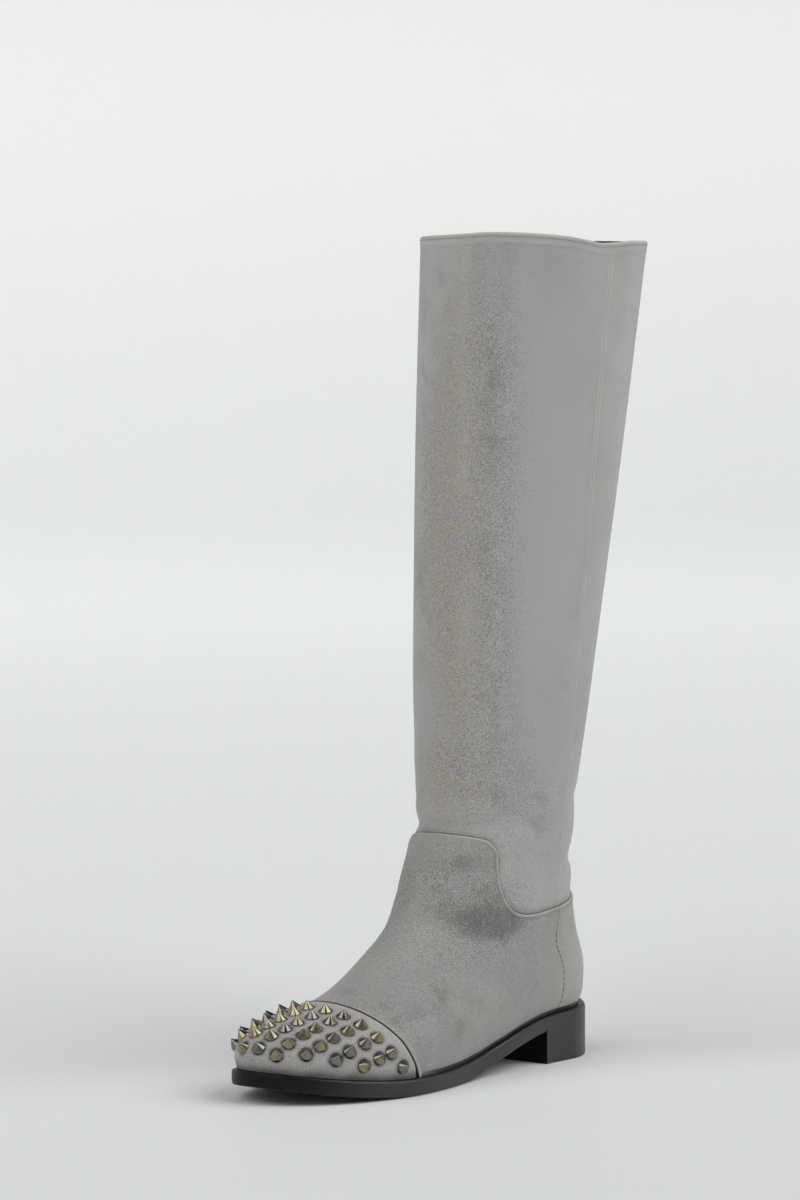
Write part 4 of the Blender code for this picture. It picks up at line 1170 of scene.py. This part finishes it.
def make_zip_pull(finish):
    hinge, across, _, _ = zip_frame()
    half = PULL_WIDTH / 2
    corner_in, corner_up = PULL_CORNER
    right = (
        (PULL_NECK, PULL_TOP), (PULL_NECK, -PULL_NECK_LENGTH), (half, -PULL_SHOULDER),
        (half, corner_up - PULL_LENGTH), (half - corner_in, -PULL_LENGTH))
    left = [(-a, b) for a, b in right]
    tab = rounded((left[0], *right, *left[:0:-1]))
    holes = [rounded(box_line(*hole)) for hole in (PULL_EYE, PULL_SLOT)]
    points, faces = plate([tab, *holes], PULL_THICKNESS, PULL_ROUNDING)
    up = np.array((0.0, 0.0, 1.0))
    outward = unit(np.cross(across, up))
    add_piece("zip_pull_tab", placed(points, hinge, across, up, outward), faces, finish,
              body="pull", replaced=("zip_pull",), sharp=35.0)


class Shader:
    """A material's node tree with short ways to add nodes."""

    def __init__(self, name, roughness, metallic=0.0, **settings):
        self.material = bpy.data.materials.new(name)
        self.material.use_nodes = True
        self.tree = self.material.node_tree
        self.surface = self.tree.nodes["Principled BSDF"]
        self.surface.inputs["Roughness"].default_value = roughness
        self.surface.inputs["Metallic"].default_value = metallic
        for label, value in settings.items():
            self.surface.inputs[label.replace("_", " ").title().replace("Ior", "IOR")].default_value = value
        self.place = self.node("ShaderNodeTexCoord").outputs["Object"]

    def node(self, kind, inputs=None, **settings):
        made = self.tree.nodes.new(kind)
        for label, value in settings.items():
            setattr(made, label, value)
        for label, value in (inputs or {}).items():
            self.feed(made.inputs[label], value)
        return made

    def feed(self, socket, value):
        if isinstance(value, bpy.types.NodeSocket):
            self.tree.links.new(value, socket)
        else:
            socket.default_value = value

    def mark(self, name):
        return self.node("ShaderNodeAttribute", attribute_name=name).outputs["Fac"]

    def stretched(self, x, y, z):
        return self.node("ShaderNodeMapping", {"Vector": self.place, "Scale": (x, y, z)}).outputs[0]

    def noise(self, scale, detail=2.0, vector=None, roughness=0.5):
        inputs = {"Vector": vector or self.place, "Scale": scale, "Detail": detail, "Roughness": roughness}
        return self.node("ShaderNodeTexNoise", inputs).outputs[0]

    def math(self, operation, first, second=0.0, clamp=False):
        inputs = {0: first, 1: second}
        return self.node("ShaderNodeMath", inputs, operation=operation, use_clamp=clamp).outputs[0]

    def span(self, value, low, high, to_low=0.0, to_high=1.0):
        inputs = {"Value": value, "From Min": low, "From Max": high, "To Min": to_low, "To Max": to_high}
        return self.node("ShaderNodeMapRange", inputs, interpolation_type="SMOOTHSTEP").outputs[0]

    def mix(self, share, first, second, blend="MIX"):
        made = self.node("ShaderNodeMix", data_type="RGBA", blend_type=blend)
        self.feed(made.inputs[0], share)
        self.feed(made.inputs[6], first)
        self.feed(made.inputs[7], second)
        return made.outputs[2]

    def finish(self, colour=None, roughness=None, bumps=()):
        """Link the colour, the roughness and stacked bumps of (height, depth in millimetres)."""
        if colour is not None:
            self.feed(self.surface.inputs["Base Color"], colour)
        if roughness is not None:
            self.feed(self.surface.inputs["Roughness"], roughness)
        normal = None
        for height, depth in bumps:
            bump = self.node("ShaderNodeBump", {"Height": height, "Distance": depth * MM, "Strength": 1.0})
            if normal is not None:
                self.tree.links.new(normal, bump.inputs["Normal"])
            normal = bump.outputs["Normal"]
        if normal is not None:
            self.tree.links.new(normal, self.surface.inputs["Normal"])
        return self.material


def srgb(red, green, blue):
    """Scene colour of a screen colour given in 0 to 255."""
    values = [channel / 255 for channel in (red, green, blue)]
    linear = [v / 12.92 if v <= 0.04045 else ((v + 0.055) / 1.055) ** 2.4 for v in values]
    return (*linear, 1.0)


def suede_material(name, base, lilac, warm, cool, dark, pale):
    shader = Shader(name, 0.9, sheen_weight=0.18, sheen_roughness=0.45, specular_ior_level=0.25)
    cloud = shader.noise(34.0, 4.0)
    wisp = shader.noise(90.0, 4.0)
    streak = shader.noise(1.0, 3.0, shader.stretched(70, 70, 8))
    grain = shader.noise(1250.0, 3.0, None, 0.7)
    fine = shader.noise(3200.0, 2.0)

    def masked(mark, low, high):
        """A mark whose edge is broken up by the clouds."""
        broken = shader.math("ADD", mark, shader.math("MULTIPLY", shader.math("SUBTRACT", wisp, 0.5), 0.9))
        return shader.span(broken, low, high)

    colour = shader.mix(shader.span(cloud, 0.38, 0.62), base, lilac)
    colour = shader.mix(shader.span(streak, 0.4, 0.75, 0.0, 0.16), colour, pale)
    colour = shader.mix(shader.span(wisp, 0.5, 0.75, 0.0, 0.22), colour, dark)
    colour = shader.mix(masked(shader.mark("warm"), 0.1, 1.1), colour, warm)
    colour = shader.mix(masked(shader.mark("cool"), 0.1, 1.1), colour, cool)
    shade = shader.math("MULTIPLY", masked(shader.mark("dark"), 0.15, 1.2), 0.85)
    colour = shader.mix(shade, colour, dark)
    speckle = shader.math("ADD", shader.math("MULTIPLY", shader.mark("speckle"), 0.78), 0.05)
    colour = shader.mix(shader.math("MULTIPLY", speckle, shader.span(grain, 0.5, 0.38)), colour, dark)
    colour = shader.mix(shader.math("MULTIPLY", speckle, shader.span(grain, 0.56, 0.66)), colour, pale)
    # Paler colour: the suede's paler patches, and its edges, which are wear with a painted highlight.
    worn = shader.math("MULTIPLY", shader.mark("pale"), shader.span(wisp, 0.25, 0.6, 0.45, 1.0))
    colour = shader.mix(worn, colour, pale)
    # Darker smudged colour: painted shade above the vamp's lapped edge and around the studs, and painted
    # shade with some dirt along the sole.
    shade_and_soil = shader.math("MULTIPLY", shader.mark("shade_and_dirt"), shader.span(wisp, 0.3, 0.65, 0.5, 1.0))
    colour = shader.mix(shade_and_soil, colour, srgb(62, 60, 58))
    # Near-black painted shade in seams, at the cap's edges, around the studs and beside the sole.
    colour = shader.mix(shader.mark("crevice_shade"), colour, srgb(28, 27, 27))
    rough = shader.span(cloud, 0.3, 0.7, 0.8, 0.95)
    return shader.finish(colour, rough, ((wisp, 0.12), (grain, 0.05), (fine, 0.03)))


def rubber_material(name, colour, worn, gloss):
    shader = Shader(name, 0.42, specular_ior_level=gloss, coat_weight=0.05, coat_roughness=0.25)
    cloud = shader.noise(45.0, 3.0)
    rub = shader.noise(260.0, 3.0)
    tone = shader.mix(shader.span(cloud, 0.35, 0.7), colour, worn)
    rough = shader.span(cloud, 0.3, 0.7, 0.36, 0.5)
    return shader.finish(tone, rough, ((rub, 0.015),))


def sole_material(name, toe, heel, toe_gloss, heel_gloss):
    """Rubber that is dull at the toe and satin at the heel, its colour darker at the toe as painted shade and
    lighter at the heel as painted light.
    """
    shader = Shader(name, 0.42, coat_weight=0.12, coat_roughness=0.25)
    sheen = shader.mark("sheen")
    gloss = shader.span(sheen, 0.0, 1.0, toe_gloss, heel_gloss)
    shader.feed(shader.surface.inputs["Specular IOR Level"], gloss)
    rough = shader.span(shader.noise(45.0, 3.0), 0.3, 0.7, 0.38, 0.48)
    return shader.finish(shader.mix(sheen, toe, heel), rough, ((shader.noise(260.0, 3.0), 0.012),))


def stud_material(name, brass, steel, dull, roughness):
    shader = Shader(name, roughness, 1.0)
    tone = shader.mix(shader.mark("tint"), brass, steel)
    tone = shader.mix(shader.span(shader.noise(300.0, 3.0), 0.45, 0.75, 0.0, 0.6), tone, dull)
    rough = shader.span(shader.noise(500.0, 3.0), 0.3, 0.7, roughness * 0.7, roughness * 1.5)
    return shader.finish(tone, rough, ((shader.noise(900.0), 0.008),))


def metal_material(name, bright, dull, roughness):
    shader = Shader(name, roughness, 1.0)
    tone = shader.mix(shader.span(shader.noise(260.0, 3.0), 0.35, 0.7), bright, dull)
    rough = shader.span(shader.noise(500.0, 3.0), 0.3, 0.7, roughness * 0.75, roughness * 1.4)
    return shader.finish(tone, rough, ((shader.noise(900.0), 0.01),))


def cloth_material(name, colour, lit):
    shader = Shader(name, 0.85, sheen_weight=0.1, sheen_roughness=0.5)
    weave = shader.node("ShaderNodeTexWave", {"Vector": shader.place, "Scale": 420.0, "Distortion": 1.5},
                        bands_direction="Z").outputs[1]
    tone = shader.mix(shader.math("MULTIPLY", weave, 0.6), colour, lit)
    return shader.finish(tone, shader.span(weave, 0.0, 1.0, 0.75, 0.95), ((weave, 0.08),))


def leather_material(name, colour, lit, roughness):
    shader = Shader(name, roughness)
    grain = shader.node("ShaderNodeTexVoronoi", {"Vector": shader.place, "Scale": 700.0}).outputs["Distance"]
    cloud = shader.noise(40.0, 3.0)
    tone = shader.mix(shader.span(cloud, 0.35, 0.7), colour, lit)
    rough = shader.span(cloud, 0.3, 0.7, roughness * 0.9, roughness * 1.1)
    return shader.finish(tone, rough, ((grain, 0.06),))


def thread_material(name, colour, lit):
    shader = Shader(name, 0.7, sheen_weight=0.1)
    twist = shader.noise(2400.0, 2.0)
    tone = shader.mix(shader.span(twist, 0.4, 0.6), colour, lit)
    return shader.finish(tone, shader.span(twist, 0.3, 0.7, 0.6, 0.8), ((twist, 0.05),))


def floor_material():
    shader = Shader("studio_floor", 0.6, specular_ior_level=0.2)
    height = shader.node("ShaderNodeSeparateXYZ", {"Vector": shader.place}).outputs["Z"]
    # The floor darkens a little where it bends up and grows lighter up the wall: painted light of the
    # backdrop.
    tone = shader.mix(shader.span(height, 0.0, 0.12), srgb(232, 234, 234), srgb(223, 225, 225))
    tone = shader.mix(shader.span(height, 0.1, 0.7), tone, srgb(237, 237, 237))
    return shader.finish(tone)


def make_floor():
    """A pale floor that curves up far behind the boot."""
    bends = np.linspace(0, math.pi / 2, STAGE_STEPS)
    profile = [(radius, 0.0) for radius in STAGE_RINGS]
    profile += [(STAGE_FLAT + STAGE_BEND * math.sin(a), STAGE_BEND * (1 - math.cos(a))) for a in bends]
    profile.append((STAGE_FLAT + STAGE_BEND, STAGE_HEIGHT))
    angles = np.arange(STAGE_SIDES) * 2 * math.pi / STAGE_SIDES
    rings = [np.column_stack((radius * np.cos(angles), radius * np.sin(angles), np.full(STAGE_SIDES, height)))
             for radius, height in profile]
    index = 1 + np.arange(len(rings) * STAGE_SIDES).reshape(len(rings), STAGE_SIDES)
    faces = grid_quads(index, True)[:, ::-1].tolist()
    inmost = index[0].tolist()
    faces += [(0, near, far) for near, far in zip(inmost, inmost[1:] + inmost[:1])]
    mesh = bpy.data.meshes.new("studio_floor")
    mesh.from_pydata(np.vstack(((0.0, 0.0, 0.0), *rings)).tolist(), [], faces)
    mesh.shade_smooth()
    mesh.materials.append(floor_material())
    add_object("studio_floor", mesh)


def make_lights():
    """A dim sky and soft lights from wide directions."""
    world = bpy.data.worlds.new("studio")
    world.use_nodes = True
    sky = world.node_tree.nodes["Background"].inputs
    sky["Color"].default_value = SKY_COLOUR
    sky["Strength"].default_value = SKY_STRENGTH
    bpy.context.scene.world = world
    bpy.context.scene.view_settings.view_transform = "Standard"
    for name, toward, angle, strength in LIGHTS:
        lamp = bpy.data.lights.new(name, "SUN")
        lamp.angle = math.radians(angle)
        lamp.energy = strength
        add_object(name, lamp).rotation_euler = Vector(toward).to_track_quat("Z", "Y").to_euler()


def make_camera():
    data = bpy.data.cameras.new("camera")
    data.sensor_fit = "VERTICAL"
    data.sensor_height = CAMERA_SENSOR
    data.lens = CAMERA_LENS
    data.clip_end = CAMERA_CLIP
    camera = add_object("camera", data)
    camera.location = CAMERA_PLACE
    camera.rotation_euler = Vector(CAMERA_LOOK).to_track_quat("-Z", "Y").to_euler()
    bpy.context.scene.camera = camera


def main():
    suede = suede_material(
        "suede", srgb(168, 167, 166), srgb(164, 162, 162), srgb(160, 156, 148), srgb(169, 169, 171),
        srgb(118, 116, 113), srgb(188, 186, 181))
    foot_suede = suede_material(
        "foot_suede", srgb(150, 149, 147), srgb(146, 145, 143), srgb(148, 146, 140), srgb(149, 149, 151),
        srgb(98, 96, 94), srgb(176, 174, 168))
    cap_suede = suede_material(
        "cap_suede", srgb(169, 167, 165), srgb(165, 163, 161), srgb(168, 165, 161), srgb(165, 165, 167),
        srgb(118, 116, 114), srgb(172, 170, 166))
    lining = leather_material("lining_cloth", srgb(34, 33, 33), srgb(44, 43, 42), 0.8)
    insole = leather_material("insole_leather", srgb(70, 64, 58), srgb(84, 77, 70), 0.65)
    thread = thread_material("thread", srgb(152, 150, 145), srgb(170, 168, 162))
    # Dark thread for the counter seam: painted shade of its stitch holes.
    hole_shade_thread = thread_material("hole_shade_thread", srgb(58, 56, 54), srgb(78, 76, 72))
    # The sole's rubber is a shaded copy at the toe and a lit copy at the heel: painted shade and painted
    # light.
    rubber = sole_material("sole_rubber", srgb(13, 13, 14), srgb(25, 25, 28), 0.1, 0.56)
    # A darker copy of the sole's rubber for the heel's breast: painted shade.
    heel_breast_shaded = rubber_material("heel_breast_shaded", srgb(9, 9, 10), srgb(14, 14, 15), 0.15)
    stud_metal = stud_material("stud_metal", srgb(150, 142, 112), srgb(124, 122, 120), srgb(70, 67, 58), 0.13)
    zip_metal = metal_material("zip_metal", srgb(215, 215, 216), srgb(180, 180, 182), 0.16)
    tape = cloth_material("zip_cloth", srgb(24, 24, 25), srgb(44, 44, 45))
    teeth = rubber_material("zip_teeth_resin", srgb(66, 66, 66), srgb(96, 96, 95), 0.5)

    make_floor()
    make_lights()
    make_camera()
    make_upper_panels(suede, foot_suede)
    make_lining(lining)
    studs = stud_seats()
    make_toe_cap(cap_suede, studs)
    make_cap_seam(foot_suede)
    make_studs(stud_metal, studs)
    make_outsole(rubber)
    make_heel(rubber, heel_breast_shaded)
    make_stitches(thread, hole_shade_thread)
    make_zip_tape(tape)
    make_zip_teeth(teeth)
    make_zip_slider(zip_metal)
    make_zip_pull(zip_metal)
    board = frame["nodes"]["insole"]
    board.data.materials.clear()
    board.data.materials.append(insole)


main()
